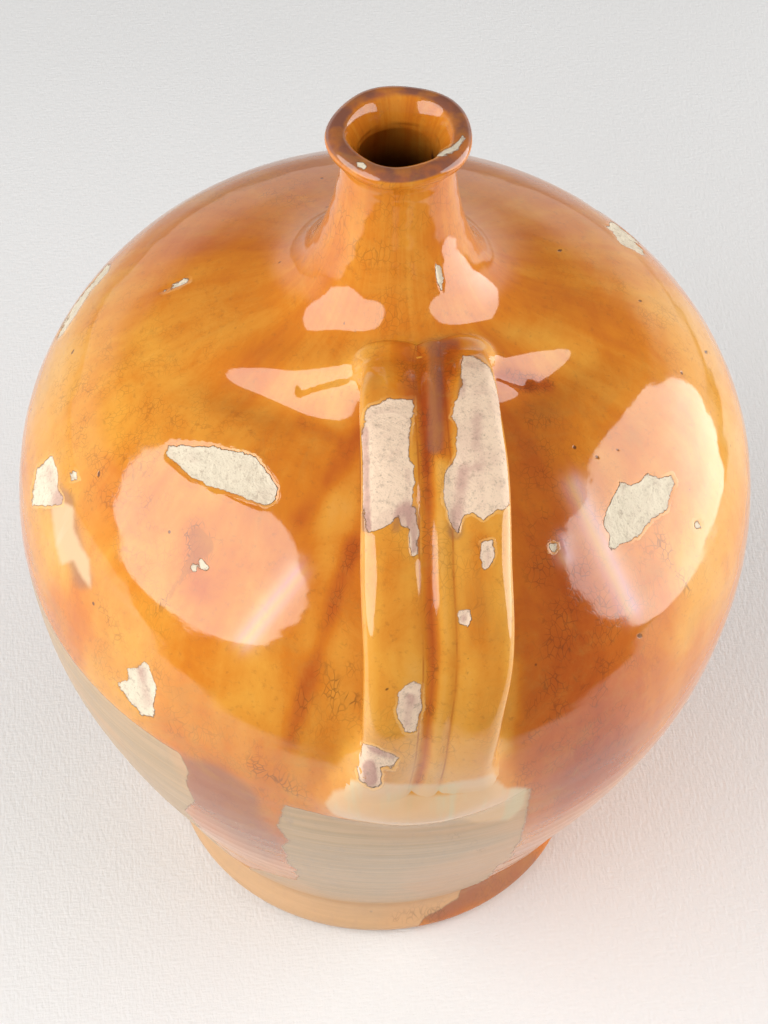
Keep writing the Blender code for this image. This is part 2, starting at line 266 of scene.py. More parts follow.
def smoothCurve(points, grain):
    # points along a smooth curve through the given ones, about a grain apart
    count = len(points)
    slopes = []
    for i in range(count):
        before, after = points[max(i - 1, 0)], points[min(i + 1, count - 1)]
        span = math.dist(before, points[i]) + math.dist(points[i], after)
        slopes.append([(b - a) / span for a, b in zip(before, after)])
    line = []
    for i in range(count - 1):
        length = math.dist(points[i], points[i + 1])
        steps = max(1, round(length / grain))
        for k in range(steps):
            t = k / steps
            weights = ((1 + 2 * t) * (1 - t) ** 2, t * (1 - t) ** 2 * length)
            weights += (t * t * (3 - 2 * t), t * t * (t - 1) * length)
            ways = zip(points[i], slopes[i], points[i + 1], slopes[i + 1])
            line.append(tuple(sum(w * value for w, value in zip(weights, way)) for way in ways))
    line.append(tuple(points[-1]))
    return line


def signedDistance(spots, outline):
    # how far spots lie from a closed outline, below 0 inside it
    corners = np.array(outline, dtype=float)
    nearest = np.full(len(spots), 1e9)
    inside = np.zeros(len(spots), dtype=bool)
    for a, b in zip(corners, np.roll(corners, -1, 0)):
        edge = b - a
        away = spots - a
        share = np.clip((away @ edge) / (edge @ edge), 0, 1)
        gap = away - share[:, None] * edge
        nearest = np.minimum(nearest, (gap ** 2).sum(1))
        crosses = (a[1] > spots[:, 1]) != (b[1] > spots[:, 1])
        rise = edge[1] if edge[1] else 1e-9
        inside ^= crosses & (spots[:, 0] < a[0] + edge[0] * (spots[:, 1] - a[1]) / rise)
    return np.where(inside, -1, 1) * np.sqrt(nearest)


# The jug's own sizes, in metres
body = {
    "bellyRadius": 0.124,
    "bellyHeight": 0.165,
    "footRadius": 0.0758,
    "footRound": 0.0025,
    "footEdgeHeight": 0.004,
    "footSeamShare": 0.3,
    "waistRadius": 0.0732,
    "waistHeight": 0.015,
    "floorThickness": 0.009,
    "wall": 0.0065,
    "neckRadius": 0.0172,
    "neckTopHeight": 0.319,
    "neckWall": 0.005,
    "lipRadius": 0.0223,
    "lipHeight": 0.011,
    "grain": 0.0015,  # the skin's mesh size
    "lipGrain": 0.0007,
    "innerGrain": 0.006,
    "turns": 480,
    "glaze": 0.0005,  # how thick the glaze stands on the clay
    "bendReach": 0.0042,  # how softly the shoulder bends up into the neck
    "bendTop": 0.310,  # above it the neck keeps its plain outline
    "bendFade": 0.02,
    "wobble": 0.0003,
    "ringDepth": 0.00009,
    "ringPitch": 0.009,  # from one throwing ring to the next
    "fineRingPitch": 0.0043,
    "lipSway": 0.0005,
    "lipWaves": 0.0003,
    "lipHeights": (0.316, 0.322),  # where the lip's unevenness sets in
    "lipTopRadii": (0.0140, 0.0178),  # where the brown on the lip's top sets in
    # painted shade: the bore's colour darkens below these heights
    "throatHeights": (0.300, 0.324),  # the bore is dark below these, and light above
    "clayEdge": (-0.0007, 0.0004),  # how the step down to bare clay lies about a chip's edge
    "slipEdge": (-0.0008, 0.0006),
    "slipShare": 0.4,  # the share of the glaze's thickness that is missing on the slip
    "seamFade": 3,  # in rings of the skin
}
# From the waist (0, 0) to the belly (1, 1): radius and height
lowerShares = ((0.065, 0.053), (0.173, 0.110), (0.390, 0.283), (0.656, 0.492), (0.870, 0.701), (0.955, 0.833))
# From the belly (1, 0) to the neck's top (0, 1)
upperShares = (
    (0.979, 0.162), (0.925, 0.276), (0.846, 0.370), (0.738, 0.458), (0.588, 0.536), (0.419, 0.594),
    (0.270, 0.633), (0.167, 0.669),
)
neckShares = ((0.101, 0.721), (0.059, 0.786), (0.028, 0.864), (0.008, 0.942))
# Round the lip, and down into the bore
lipShares = ((0.25, 0.30), (0.80, 0.50), (1.00, 0.73), (0.84, 0.91), (0.42, 0.997))
funnelShares = ((0.93, 0.95), (0.58, 0.75), (0.27, 0.46), (0.06, 0.16))


def lowerPoint(share):
    radius = between(body["waistRadius"], body["bellyRadius"], share[0])
    return radius, between(body["waistHeight"], body["bellyHeight"], share[1])


def upperPoint(share):
    radius = between(body["neckRadius"], body["bellyRadius"], share[0])
    return radius, between(body["bellyHeight"], body["neckTopHeight"], share[1])


def lipPoint(share):
    radius = between(body["neckRadius"], body["lipRadius"], share[0])
    return radius, body["neckTopHeight"] + body["lipHeight"] * share[1]


def funnelPoint(share):
    radius = between(body["neckRadius"] - body["neckWall"], body["neckRadius"], share[0])
    return radius, body["neckTopHeight"] + body["lipHeight"] * share[1]


footSeam = (between(body["waistRadius"], body["footRadius"], body["footSeamShare"]), body["floorThickness"])
bellySeam = lowerPoint(lowerShares[-1])
neckSeam = upperPoint(upperShares[-1])
lipSeam = (body["neckRadius"], body["neckTopHeight"])
outerPoints = [
    (body["footRadius"] - body["footRound"], 0.0),
    (body["footRadius"], body["footEdgeHeight"]),
    footSeam,
    (body["waistRadius"], body["waistHeight"]),
    *[lowerPoint(share) for share in lowerShares],
    (body["bellyRadius"], body["bellyHeight"]),
    *[upperPoint(share) for share in upperShares],
    *[upperPoint(share) for share in neckShares],
    lipSeam,
]


def evenedOut(line, low, high, reach):
    # the line with its bends made softer between two heights
    plain = np.array(line)
    span = 12  # how many points on each side have a weight
    padded = np.pad(plain, ((span, span), (0, 0)), mode="edge")
    weights = np.exp(-(np.arange(-span, span + 1) * body["grain"] / reach) ** 2 / 2)
    soft = sum(weight * padded[k:k + len(plain)] for k, weight in enumerate(weights)) / weights.sum()
    fade = body["bendFade"]
    share = ease(plain[:, 1], low, low + fade) * (1 - ease(plain[:, 1], high - fade, high))
    return [(float(radius), float(height)) for radius, height in plain + (soft - plain) * share[:, None]]


plainLine = smoothCurve(outerPoints, body["grain"])
outerLine = evenedOut(plainLine, body["bellyHeight"], body["bendTop"], body["bendReach"])
outerWays = np.gradient(np.array(outerLine), axis=0)
outerWays /= np.linalg.norm(outerWays, axis=1)[:, None]
outerHeights = np.array(outerLine)[:, 1]


def surfaceAt(heights):
    # the body's radius at heights, and the outward direction there as (radial, upward)
    radii = np.interp(heights, outerHeights, np.array(outerLine)[:, 0])
    radial = np.interp(heights, outerHeights, outerWays[:, 1])
    upward = np.interp(heights, outerHeights, -outerWays[:, 0])
    return radii, radial, upward


def heightAt(radii):
    # the shoulder's height at radii
    first = outerLine.index(min(outerLine, key=lambda point: math.dist(point, outerPoints[10])))
    stretch = np.array(outerLine[first:])[::-1]
    return np.interp(radii, stretch[:, 0], stretch[:, 1])


def wallAt(height):
    # the wall thins from the neck's seam to its top
    share = min(max((height - neckSeam[1]) / (lipSeam[1] - neckSeam[1]), 0), 1)
    return between(body["wall"], body["neckWall"], share)


def innerPoint(index):
    radius, height = outerLine[index]
    wall = wallAt(height)
    return radius - outerWays[index][1] * wall, height + outerWays[index][0] * wall


def wholeOutline():
    # underside, outside, lip, bore, inside and floor in one line, and where the pieces meet on it
    def nearest(point):
        return min(range(len(outerLine)), key=lambda i: math.dist(outerLine[i], point))

    seams = {name: nearest(point) for name, point in
             (("foot", footSeam), ("belly", bellySeam), ("neck", neckSeam), ("lip", lipSeam))}
    under = [(radius, 0.0) for radius in np.linspace(0, outerLine[0][0], 9)[:-1]]
    lip = smoothCurve([lipSeam, *[lipPoint(share) for share in lipShares],
                       *[funnelPoint(share) for share in funnelShares], innerPoint(seams["lip"])],
                      body["lipGrain"])
    line = under + outerLine[:-1] + lip
    places = {"foot": len(under) + seams["foot"], "belly": len(under) + seams["belly"],
              "neck": len(under) + seams["neck"], "lip": len(under) + seams["lip"],
              "lipInside": len(line) - 1}
    stops = [seams["lip"], seams["neck"], seams["belly"], seams["foot"]]
    for (high, low), name in zip(zip(stops, stops[1:]), ("neckInside", "bellyInside", "footInside")):
        steps = max(2, round(math.dist(outerLine[high], outerLine[low]) / body["innerGrain"]))
        for k in range(1, steps + 1):
            line.append(innerPoint(round(between(high, low, k / steps))))
        places[name] = len(line) - 1
    line[-1] = (line[-1][0], body["floorThickness"])
    line += [(radius, body["floorThickness"]) for radius in np.linspace(line[-1][0], 0, 9)[1:]]
    return line, places


# Thumb dents in the shoulder, beside the handle's upper root
dents = {
    "depth": 0.0036,
    "width": 0.0075,
    "length": 0.021,
    "radius": 0.058,
    "azimuth": 52,
    "slant": 32,
    "heights": (0.20, 0.22),  # nothing is dented below these
}


def dentDepth(points):
    depth = np.zeros(len(points))
    for side in (-1, 1):
        turn = math.radians(side * dents["azimuth"])
        slant = math.radians(dents["slant"])
        centre = np.array((math.sin(turn), -math.cos(turn))) * dents["radius"]
        away = points[:, :2] - centre
        along = np.array((side * math.cos(slant), math.sin(slant)))
        run = away @ along / dents["length"]
        across = away @ np.array((-along[1], along[0])) / dents["width"]
        depth += dents["depth"] * np.exp(-run ** 2 - across ** 2)
    return depth


# Where the glaze has chipped off the body, traced in the picture's pixels
bodyChips = (
    ((166, 445), (190, 446), (216, 447), (254, 456), (264, 468), (277, 486), (275, 500), (265, 506),
     (245, 498), (231, 493), (209, 486), (190, 476), (177, 465), (166, 456)),
    ((51, 456), (57, 474), (56, 486), (62, 498), (60, 504), (50, 506), (32, 505), (32, 486), (38, 466)),
    ((145, 659), (150, 672), (156, 688), (152, 705), (154, 719), (140, 716), (128, 700), (116, 682),
     (127, 682), (127, 670), (138, 668)),
    ((621, 483), (630, 487), (642, 481), (649, 472), (660, 479), (672, 474), (676, 483), (667, 510),
     (652, 520), (640, 536), (624, 543), (610, 551), (610, 536), (603, 519), (612, 501)),
    ((110, 258), (108, 270), (90, 290), (76, 312), (60, 336), (54, 338), (62, 318), (78, 292), (96, 270)),
    ((68, 470), (75, 472), (77, 479), (71, 481)),
    ((694, 520), (700, 522), (702, 528), (697, 529)),
    ((170, 285), (180, 280), (189, 278), (188, 281), (178, 286), (170, 288)),
    ((160, 290), (166, 288), (167, 290), (161, 292)),
    ((436, 264), (441, 268), (444, 280), (442, 290), (438, 282)),
    ((437, 156), (446, 151), (458, 145), (465, 136), (467, 139), (460, 150), (448, 158), (439, 159)),
    ((354, 164), (361, 164), (366, 168), (363, 171), (357, 169)),
    ((189, 571), (192, 563), (197, 565), (200, 559), (205, 564), (209, 568), (205, 572), (200, 568),
     (194, 573)),
    ((551, 545), (556, 543), (558, 548), (554, 553), (550, 550)),
)
# Chips on the sides that the picture doesn't show: azimuth, height and half size
farChips = (
    (118, 0.236, 0.0085), (131, 0.229, 0.0050), (162, 0.186, 0.0070), (-150, 0.205, 0.0100),
    (-158, 0.194, 0.0060), (-128, 0.168, 0.0060), (98, 0.172, 0.0055), (176, 0.252, 0.0045),
    (150, 0.140, 0.0050),
)
# Where the pale slip shows under the amber glaze of the lower wall: azimuth and height
paleZones = (
    ((-112, 0.160), (-90, 0.165), (-75, 0.163), (-66, 0.160), (-51, 0.159), (-38, 0.1575), (-37, 0.148),
     (-38, 0.138), (-37.5, 0.125), (-41, 0.110), (-44, 0.080), (-46, 0.052), (-40, 0.034), (-30, 0.030),
     (-22, 0.040), (-18, 0.024), (-20, -0.02), (-130, -0.02), (-124, 0.05), (-116, 0.11)),
    ((-21, 0.150), (-15, 0.1485), (-7, 0.1475), (2, 0.148), (9, 0.150), (15.8, 0.155), (17, 0.122),
     (20, 0.080), (22, 0.030), (19, 0.011), (8, 0.007), (-4, -0.02), (-48, -0.02), (-40, 0.036),
     (-31, 0.052), (-25, 0.056), (-22.5, 0.066), (-22, 0.080), (-23.5, 0.090), (-22.3, 0.102),
     (-22.8, 0.112), (-21.2, 0.121), (-22.6, 0.133)),
    ((118, 0.150), (134, 0.146), (150, 0.141), (163, 0.145), (170, 0.128), (166, 0.095), (171, 0.052),
     (160, -0.02), (128, -0.02), (122, 0.040), (114, 0.085), (121, 0.120)),
)
# Tones of the glaze in the picture: a streak's two ends, its half width, and its tone, which is
# yellow above 0 and rusty below
toneStreaks = (
    (570, 600, 545, 760, 40, -0.24),
    (620, 620, 600, 740, 46, -0.22),
    (540, 420, 550, 560, 34, -0.20),
    (512, 665, 505, 745, 11, 0.34),
    (352, 545, 290, 742, 9, -0.36),
    (362, 432, 302, 520, 11, -0.30),
    (300, 420, 340, 440, 9, -0.22),
    (330, 500, 318, 640, 22, 0.24),
    (262, 600, 252, 700, 18, 0.16),
    (305, 540, 325, 610, 16, -0.10),
    (190, 530, 200, 590, 14, -0.16),
    (110, 560, 130, 660, 40, 0.20),
    (240, 660, 260, 735, 34, 0.10),
    (345, 640, 345, 750, 18, 0.12),
    (335, 400, 352, 500, 30, 0.16),
    (400, 235, 400, 275, 34, 0.10),
    (90, 360, 130, 430, 60, 0.20),
    (42, 360, 52, 560, 30, 0.30),
    (95, 680, 120, 720, 26, 0.26),
    (110, 250, 60, 330, 30, 0.20),
    (230, 250, 300, 190, 44, -0.08),
    (160, 320, 260, 320, 34, 0.14),
    (600, 210, 660, 290, 34, 0.12),
    (690, 320, 735, 420, 36, 0.30),
    (700, 560, 738, 450, 26, 0.28),
    (680, 640, 715, 590, 22, 0.22),
    (560, 250, 620, 330, 40, -0.06),
    (300, 384, 355, 384, 10, 0.14),
    # painted shade in the crease under the right wing
    (500, 379, 550, 380, 8, -0.40),
    (210, 800, 262, 850, 34, -0.20),
    (432, 908, 530, 868, 20, -0.20),
    (540, 820, 610, 770, 34, -0.26),
    (520, 330, 590, 350, 16, 0.20),
    (150, 350, 210, 420, 24, 0.16),
)
# The same for the strap alone
strapTones = (
    (443, 345, 441, 450, 9, -0.62),
    (404, 345, 410, 395, 11, -0.36),
    (428, 350, 426, 470, 6, -0.30),
    (455, 345, 452, 372, 7, -0.40),
    (395, 560, 390, 640, 12, -0.06),
    (480, 540, 476, 640, 12, -0.20),
    (470, 640, 468, 740, 12, 0.08),
    (376, 560, 372, 720, 9, 0.12),
)
# Where a thin oily film tints the glaze, in bands along the streak; its rainbow colours are a painted
# reflection that lightens the glaze
filmSheenStreaks = (
    (577, 486, 632, 606, 13, 1.0),
    (565, 540, 566, 556, 9, 0.9),
    (296, 572, 246, 640, 12, 0.9),
)
# Burnt specks and pits: place and half width
burnSpots = (
    (404, 453, 3.2), (598, 458, 3.0), (619, 450, 2.4), (555, 549, 3.2), (558, 588, 2.4), (467, 658, 2.2),
    (467, 674, 2.0), (443, 680, 2.0), (388, 689, 2.2), (345, 322, 2.6), (208, 350, 2.4), (707, 352, 2.4),
    (450, 268, 2.0), (396, 812, 2.0), (484, 812, 2.4), (330, 445, 2.2), (434, 156, 3.6), (98, 474, 2.0),
    (127, 552, 2.0), (640, 636, 2.0), (600, 680, 1.8), (366, 776, 2.2), (245, 300, 1.8), (280, 262, 1.6),
    (228, 330, 1.6), (560, 250, 1.8), (640, 300, 1.6), (690, 488, 2.0), (72, 352, 2.2), (150, 612, 1.8),
)
# Old oil stains in the craze
stainStreaks = (
    (332, 635, 346, 706, 14, 0.5),
    (316, 692, 350, 700, 10, 0.3),
    (196, 536, 206, 546, 11, 1.4),
    (200, 545, 192, 566, 7, 1.4),
    (192, 562, 158, 612, 3, 1.5),
    (660, 540, 690, 590, 6, 0.5),
    (94, 596, 118, 640, 5, 0.4),
    (258, 768, 300, 800, 10, 0.5),
    (455, 836, 480, 850, 5, 0.4),
    (395, 920, 450, 908, 6, 0.4),
)
# Where the bare clay is smeared mauve and brown, and, low on the wall and foot, a painted mauve reflection of
# the table on the glaze
smearAndVeilStreaks = (
    (364, 430, 366, 528, 5, 1.2),
    (400, 505, 396, 528, 7, 0.7),
    (408, 470, 410, 525, 5, 0.7),
    (462, 470, 455, 532, 9, 1.1),
    (476, 395, 482, 505, 11, 0.6),
    (463, 380, 461, 395, 5, 0.8),
    (368, 768, 370, 780, 8, 1.3),
    (372, 750, 392, 758, 6, 0.9),
    (410, 700, 409, 725, 9, 0.8),
    (415, 510, 415, 550, 4, 1.3),
    (488, 545, 487, 565, 4, 0.6),
    (464, 618, 464, 620, 6, 0.8),
    (46, 470, 60, 500, 12, 0.6),
    (62, 505, 82, 580, 14, 0.9),
    (140, 672, 146, 705, 9, 0.8),
    (448, 150, 455, 145, 3, 0.6),
    (436, 352, 435, 446, 9, 1.1),
    (420, 342, 456, 342, 8, 0.6),
    # the last four: a painted mauve reflection of the table, low on the wall and foot
    (432, 908, 530, 868, 20, 1.0),
    (205, 790, 262, 850, 30, 1.0),
    (165, 760, 240, 800, 16, 0.7),
    (560, 790, 640, 730, 24, 0.5),
)
# Creases pressed in under the wings, a streak's two ends, its half width and its depth
creases = (
    (302, 388, 368, 379, 6, 0.0015),
    (492, 376, 528, 381, 6, 0.0016),
)
# Pale cream on the foot pad and at the left: a painted reflection of the table on the glossy glaze
creamReflectionPatches = (
    ((324, 800), (333, 786), (348, 778), (362, 780), (400, 783), (440, 783), (476, 778), (494, 772),
     (506, 784), (529, 787), (526, 806), (512, 822), (480, 825), (452, 820), (420, 824), (392, 826),
     (356, 820), (332, 812)),
    ((50, 504), (61, 500), (75, 507), (74, 527), (81, 545), (90, 559), (91, 591), (79, 577), (72, 562),
     (59, 567), (54, 545), (52, 527)),
)


# How the traced marks are laid on
coats = {
    "reach": 0.02,  # distances to an edge are kept up to this far
    "unrolledRadius": 0.11,  # where an angle round the jug is turned into a length
    "slipRadius": 0.05,  # there is no slip nearer to the axis
    "leastFacing": 0.10,  # how much a surface has to look at the camera to get a mark
    "creamFacing": -0.35,
    "tear": 0.0018,  # how far the slip's edge wanders on the sides that don't show
    "filmRise": 0.93,  # the oily film's bands: their slants, and their pitch in pixels
    "filmLeftSlant": -0.78,
    "filmRightSlant": 0.42,
    "filmMiddle": 430,
    "filmPitch": 40,
    "burnShare": 0.8,
}


def streakSum(spots, streaks):
    total = np.zeros(len(spots))
    for across, down, acrossEnd, downEnd, width, strength in streaks:
        start = np.array((across, down), dtype=float)
        run = np.array((acrossEnd, downEnd)) - start
        away = spots - start
        share = np.clip(away @ run / (run @ run), 0, 1)
        gap = ((away - share[:, None] * run) ** 2).sum(1)
        total += strength * np.exp(-gap / width ** 2)
    return total


def seenDistance(points, normals, outlines, least):
    # distance in metres to outlines traced in the picture, on the side that it shows
    spots, scale = inPicture(points)
    nearest = np.full(len(points), 1e9)
    for outline in outlines:
        nearest = np.minimum(nearest, signedDistance(spots, outline))
    away = (least - facing(points, normals)) * coats["reach"]
    return np.maximum(nearest / scale, away)


def aroundDistance(points, outlines):
    # distance in metres to outlines given by azimuth and height
    azimuth = np.degrees(azimuthOf(points))
    radius = np.hypot(points[:, 0], points[:, 1])
    nearest = np.full(len(points), 1e9)
    for turn in (-360, 0, 360):
        spots = np.stack((np.radians(azimuth + turn) * coats["unrolledRadius"], points[:, 2]), 1)
        for outline in outlines:
            flat = [(math.radians(angle) * coats["unrolledRadius"], height) for angle, height in outline]
            nearest = np.minimum(nearest, signedDistance(spots, flat))
    return np.where(radius > coats["slipRadius"], nearest, coats["reach"])


def farDistance(points):
    # distance in metres to the ragged chips on the sides that the picture doesn't show
    nearest = np.full(len(points), 1e9)
    for azimuth, height, size in farChips:
        radius = surfaceAt(height)[0]
        turn = math.radians(azimuth)
        centre = np.array((math.sin(turn) * radius, -math.cos(turn) * radius, height))
        away = points - centre
        bearing = np.arctan2(away[:, 2], away @ np.array((math.cos(turn), math.sin(turn), 0)))
        ragged = 1 + 0.26 * np.cos(2 * bearing - azimuth) + 0.10 * np.sin(3 * bearing + azimuth)
        ragged += 0.10 * np.sin(5 * bearing - 2 * azimuth) + 0.07 * np.sin(9 * bearing + azimuth)
        nearest = np.minimum(nearest, np.linalg.norm(away, axis=1) - size * ragged)
    return nearest


def storeDistance(mesh, name, distance):
    # in millimetres, up to the coats' reach
    storeValues(mesh, name, np.clip(distance, -coats["reach"], coats["reach"]) * 1000)


def markCoats(piece, chips, tones, farSide=True):
    # stores on a piece what its material needs to know of its chips, slip, tones, film and stains
    mesh = piece.data
    points, normals = readPoints(mesh), readNormals(mesh)
    chip = seenDistance(points, normals, chips, coats["leastFacing"])
    if farSide:
        chip = np.minimum(chip, farDistance(points))
    pale = aroundDistance(points, paleZones)
    spots = inPicture(points)[0]
    seen = ease(facing(points, normals), 0.0, 0.25)
    storeDistance(mesh, "chip", chip)
    azimuth = azimuthOf(points)
    torn = np.sin(points[:, 2] * 190 + azimuth * 7) + 0.5 * np.sin(points[:, 2] * 530 - azimuth * 23)
    torn += 0.3 * np.sin(points[:, 2] * 1370 + azimuth * 57) * np.sin(points[:, 2] * 90)
    pale += (1 - seen) * torn * coats["tear"]
    storeDistance(mesh, "pale", pale)
    storeValues(mesh, "tone", streakSum(spots, tones) * seen)
    storeValues(mesh, "film", streakSum(spots, filmSheenStreaks) * seen)
    slant = np.where(spots[:, 0] > coats["filmMiddle"], coats["filmRightSlant"], coats["filmLeftSlant"])
    storeValues(mesh, "band", (spots[:, 0] * coats["filmRise"] - spots[:, 1] * slant) / coats["filmPitch"])
    storeValues(mesh, "smear", streakSum(spots, smearAndVeilStreaks) * seen)
    storeValues(mesh, "stain", streakSum(spots, stainStreaks) * seen)
    burns = [(across, down, across, down + 0.1, size * coats["burnShare"], 1.0)
             for across, down, size in burnSpots]
    storeValues(mesh, "burn", streakSum(spots, burns) * seen)
    storeDistance(mesh, "cream", seenDistance(points, normals, creamReflectionPatches, coats["creamFacing"]))
    return chip, pale


def outwardOfBody(points):
    # the plain outward direction of the turned body at points near its outside
    radius = np.maximum(np.hypot(points[:, 0], points[:, 1]), 1e-6)
    radial, upward = surfaceAt(points[:, 2])[1:]
    return np.stack((points[:, 0] / radius * radial, points[:, 1] / radius * radial, upward), 1)


def handMade(points):
    # how far the potter's hand pressed the turned shape in: wobble, throwing rings and thumb dents
    azimuth = azimuthOf(points)
    height = points[:, 2] / body["bellyHeight"]
    wobble = 1 + 0.5 * np.sin(2 * azimuth + 1.3 + 3 * height) + 0.5 * np.sin(3 * azimuth - 2.1 * height)
    turnedRise = points[:, 2] + azimuth / math.tau * body["ringPitch"]
    uneven = 0.5 + 0.5 * np.sin(3 * azimuth + 40 * points[:, 2])
    rings = 1 + np.sin(turnedRise / body["ringPitch"] * math.tau) * 0.7
    rings += np.sin(turnedRise / body["fineRingPitch"] * math.tau + 1) * 0.3 * uneven
    dented = dentDepth(points) * ease(points[:, 2], *dents["heights"])
    return body["wobble"] * wobble / 2 + body["ringDepth"] * rings / 2 + dented


# The strap handle and the clay that lutes it to the body
handle = {
    "width": 0.044,
    "thickness": 0.0105,
    "overhang": 0.0098,
    "rise": 0.0164,
    "topShift": 0.0055,
    "footShift": -0.0035,
    "grain": 0.0012,
    "fillet": 0.008,  # how softly the strap runs into the body
    "tuck": 0.0012,  # how far a surface dips where another one covers it
    "moves": 6,  # in how many moves a surface is brought onto another one
    "skinLift": 0.012,  # how far the body's skin may rise, and the strap's
    "strapLift": 0.004,
    "leastLift": 0.00003,
    "lowest": 0.12,  # nothing of the handle lies lower
    "middle": 0.21,  # a height between the two lutings
    "wadHalfLength": 0.066,
    "wadHalfWidth": 0.0165,
    "wadCentreRadius": 0.039,
    "wadWingHeight": 0.0042,
    "wadRootHeight": 0.0044,
    "wadRootHalfLength": 0.026,
    "wadBackShare": 0.46,
    "padHalfWidth": 0.038,
    "padHalfHeight": 0.0175,
    "padDrop": 0.0065,
    "padThickness": 0.0050,
    "bed": 0.0003,
    "sectionGrain": 0.0011,
    "clayEdge": (-0.0006, 0.0004),
    "sway": (0.0005, 0.023),  # the strap's unevenness: how far and how long
    "quiver": (0.0003, 0.009),
    "swell": (0.00018, 0.011),
    "ripple": (0.00012, 0.0047),
    "press": 0.00025,
    # the next three place the strap's painted shade in its grooves and painted highlight on its middle ridge
    "wideGroove": (-0.052, 0.038),  # place and half width, as shares of the strap's width
    "narrowGroove": (0.105, 0.018),
    "ridge": (0.020, 0.035),
}
strapLineShares = (
    (-0.132, 0.821), (-0.039, 0.925), (0.194, 1.000), (0.515, 0.943), (0.793, 0.794), (0.956, 0.595),
    (1.000, 0.385), (0.968, 0.192), (0.900, 0.039), (0.802, -0.063),
)
strapWidthShares = (0.80, 0.86, 0.95, 1.00, 1.00, 0.99, 0.96, 0.98, 1.12, 1.22)
strapThicknessShares = (0.60, 0.74, 1.00, 1.00, 1.00, 1.00, 1.00, 1.00, 1.00, 1.00)
# Place across the width, and depth under the outer line
strapSectionShares = (
    (-0.500, 0.50), (-0.485, 0.28), (-0.430, 0.10), (-0.330, 0.00), (-0.235, 0.00), (-0.150, 0.07),
    (-0.080, 0.19), (-0.020, 0.12), (0.030, 0.05), (0.070, 0.06), (0.108, 0.10), (0.155, 0.05),
    (0.250, 0.00), (0.360, 0.02), (0.440, 0.10), (0.485, 0.28), (0.500, 0.50), (0.480, 0.75), (0.400, 0.93),
    (0.200, 1.00), (-0.200, 1.00), (-0.400, 0.93), (-0.480, 0.75), (-0.500, 0.50),
)
handleChips = (
    ((367, 408), (388, 398), (414, 398), (413, 412), (410, 426), (409, 442), (408, 459), (414, 463),
     (413, 500), (413, 528), (402, 528), (398, 516), (386, 526), (367, 534), (364, 520), (361, 504),
     (360, 470), (360, 442), (363, 424)),
    ((463, 355), (478, 357), (490, 367), (500, 387), (508, 418), (511, 450), (512, 483), (512, 504),
     (503, 512), (494, 510), (484, 520), (473, 512), (463, 516), (456, 536), (449, 516), (443, 493),
     (445, 473), (457, 455), (457, 426), (452, 416), (455, 402), (463, 387), (461, 365)),
    ((411, 504), (416, 506), (419, 530), (418, 557), (412, 556), (409, 540)),
    ((482, 542), (492, 540), (495, 552), (491, 566), (484, 570), (480, 556)),
    ((457, 611), (469, 609), (472, 618), (468, 627), (459, 625)),
    ((398, 694), (412, 682), (421, 684), (422, 706), (416, 731), (406, 732), (397, 716)),
    ((358, 742), (366, 745), (380, 750), (399, 758), (394, 768), (381, 768), (381, 786), (372, 789),
     (360, 780), (354, 760)),
)


def strapStations():
    # the handle's line with its width and thickness, a grain apart
    reach = body["bellyRadius"] + handle["overhang"]
    foot = body["bellyHeight"] - handle["padDrop"]
    crest = float(heightAt(handle["wadCentreRadius"])) + handle["rise"]
    points = []
    shares = zip(strapLineShares, strapWidthShares, strapThicknessShares)
    for (radiusShare, heightShare), widthShare, depthShare in shares:
        radius = between(handle["wadCentreRadius"], reach, radiusShare)
        height = between(foot, crest, heightShare)
        points.append((radius, height, handle["width"] * widthShare, handle["thickness"] * depthShare))
    return np.array(smoothCurve(points, handle["grain"]))


stations = strapStations()
strapWays = np.gradient(stations[:, :2], axis=0)
strapWays /= np.linalg.norm(strapWays, axis=1)[:, None]
strapShifts = np.linspace(handle["topShift"], handle["footShift"], len(stations))
sectionOutline = [(across * handle["width"], depth * handle["thickness"])
                  for across, depth in strapSectionShares]


def strapDistance(points):
    # how far points lie from the strap's surface, below 0 inside it
    flat = np.stack((-points[:, 1], points[:, 2]), 1)
    centre = stations[:, :2] + np.stack((strapWays[:, 1], -strapWays[:, 0]), 1) * stations[:, 3:] / 2
    nearest = np.concatenate([((some[:, None] - centre[None]) ** 2).sum(2).argmin(1)
                              for some in np.array_split(flat, max(1, len(flat) // 4000))])
    radius, height, width, thickness = stations[nearest].T
    ways = strapWays[nearest]
    away = flat - stations[nearest, :2]
    along = np.abs((away * ways).sum(1))
    depth = (away[:, 0] * ways[:, 1] - away[:, 1] * ways[:, 0]) / thickness * handle["thickness"]
    across = (points[:, 0] - strapShifts[nearest]) / width * handle["width"]
    side = signedDistance(np.stack((across, depth), 1), sectionOutline[:-1])
    past = np.maximum(along - handle["grain"], 0)
    return np.where(past > 0, np.hypot(np.maximum(side, 0), past), side)


def luteRise(points):
    # how far the luting clay stands on the body: wings at the upper root, a pad at the foot
    back = handle["wadCentreRadius"] * handle["wadBackShare"] * (points[:, 0] / handle["wadHalfLength"]) ** 2
    u = points[:, 0] / handle["wadHalfLength"]
    v = (points[:, 1] - back + handle["wadCentreRadius"]) / handle["wadHalfWidth"]
    root = points[:, 0] / handle["wadRootHalfLength"]
    rise = handle["wadWingHeight"] * (1 - 0.25 * u * u) + handle["wadRootHeight"] * np.exp(-root ** 2)
    wad = np.clip(1 - u * u - v * v, 0, 1) ** 2 * rise * (points[:, 2] > body["bellyHeight"])
    azimuth = azimuthOf(points)
    u = (azimuth * body["bellyRadius"] - handle["footShift"]) / handle["padHalfWidth"]
    v = (points[:, 2] - body["bellyHeight"] + handle["padDrop"]) / handle["padHalfHeight"]
    pad = np.clip(1 - u * u - v * v, 0, 1) ** 2 * handle["padThickness"] * (points[:, 1] < 0)
    return wad + pad


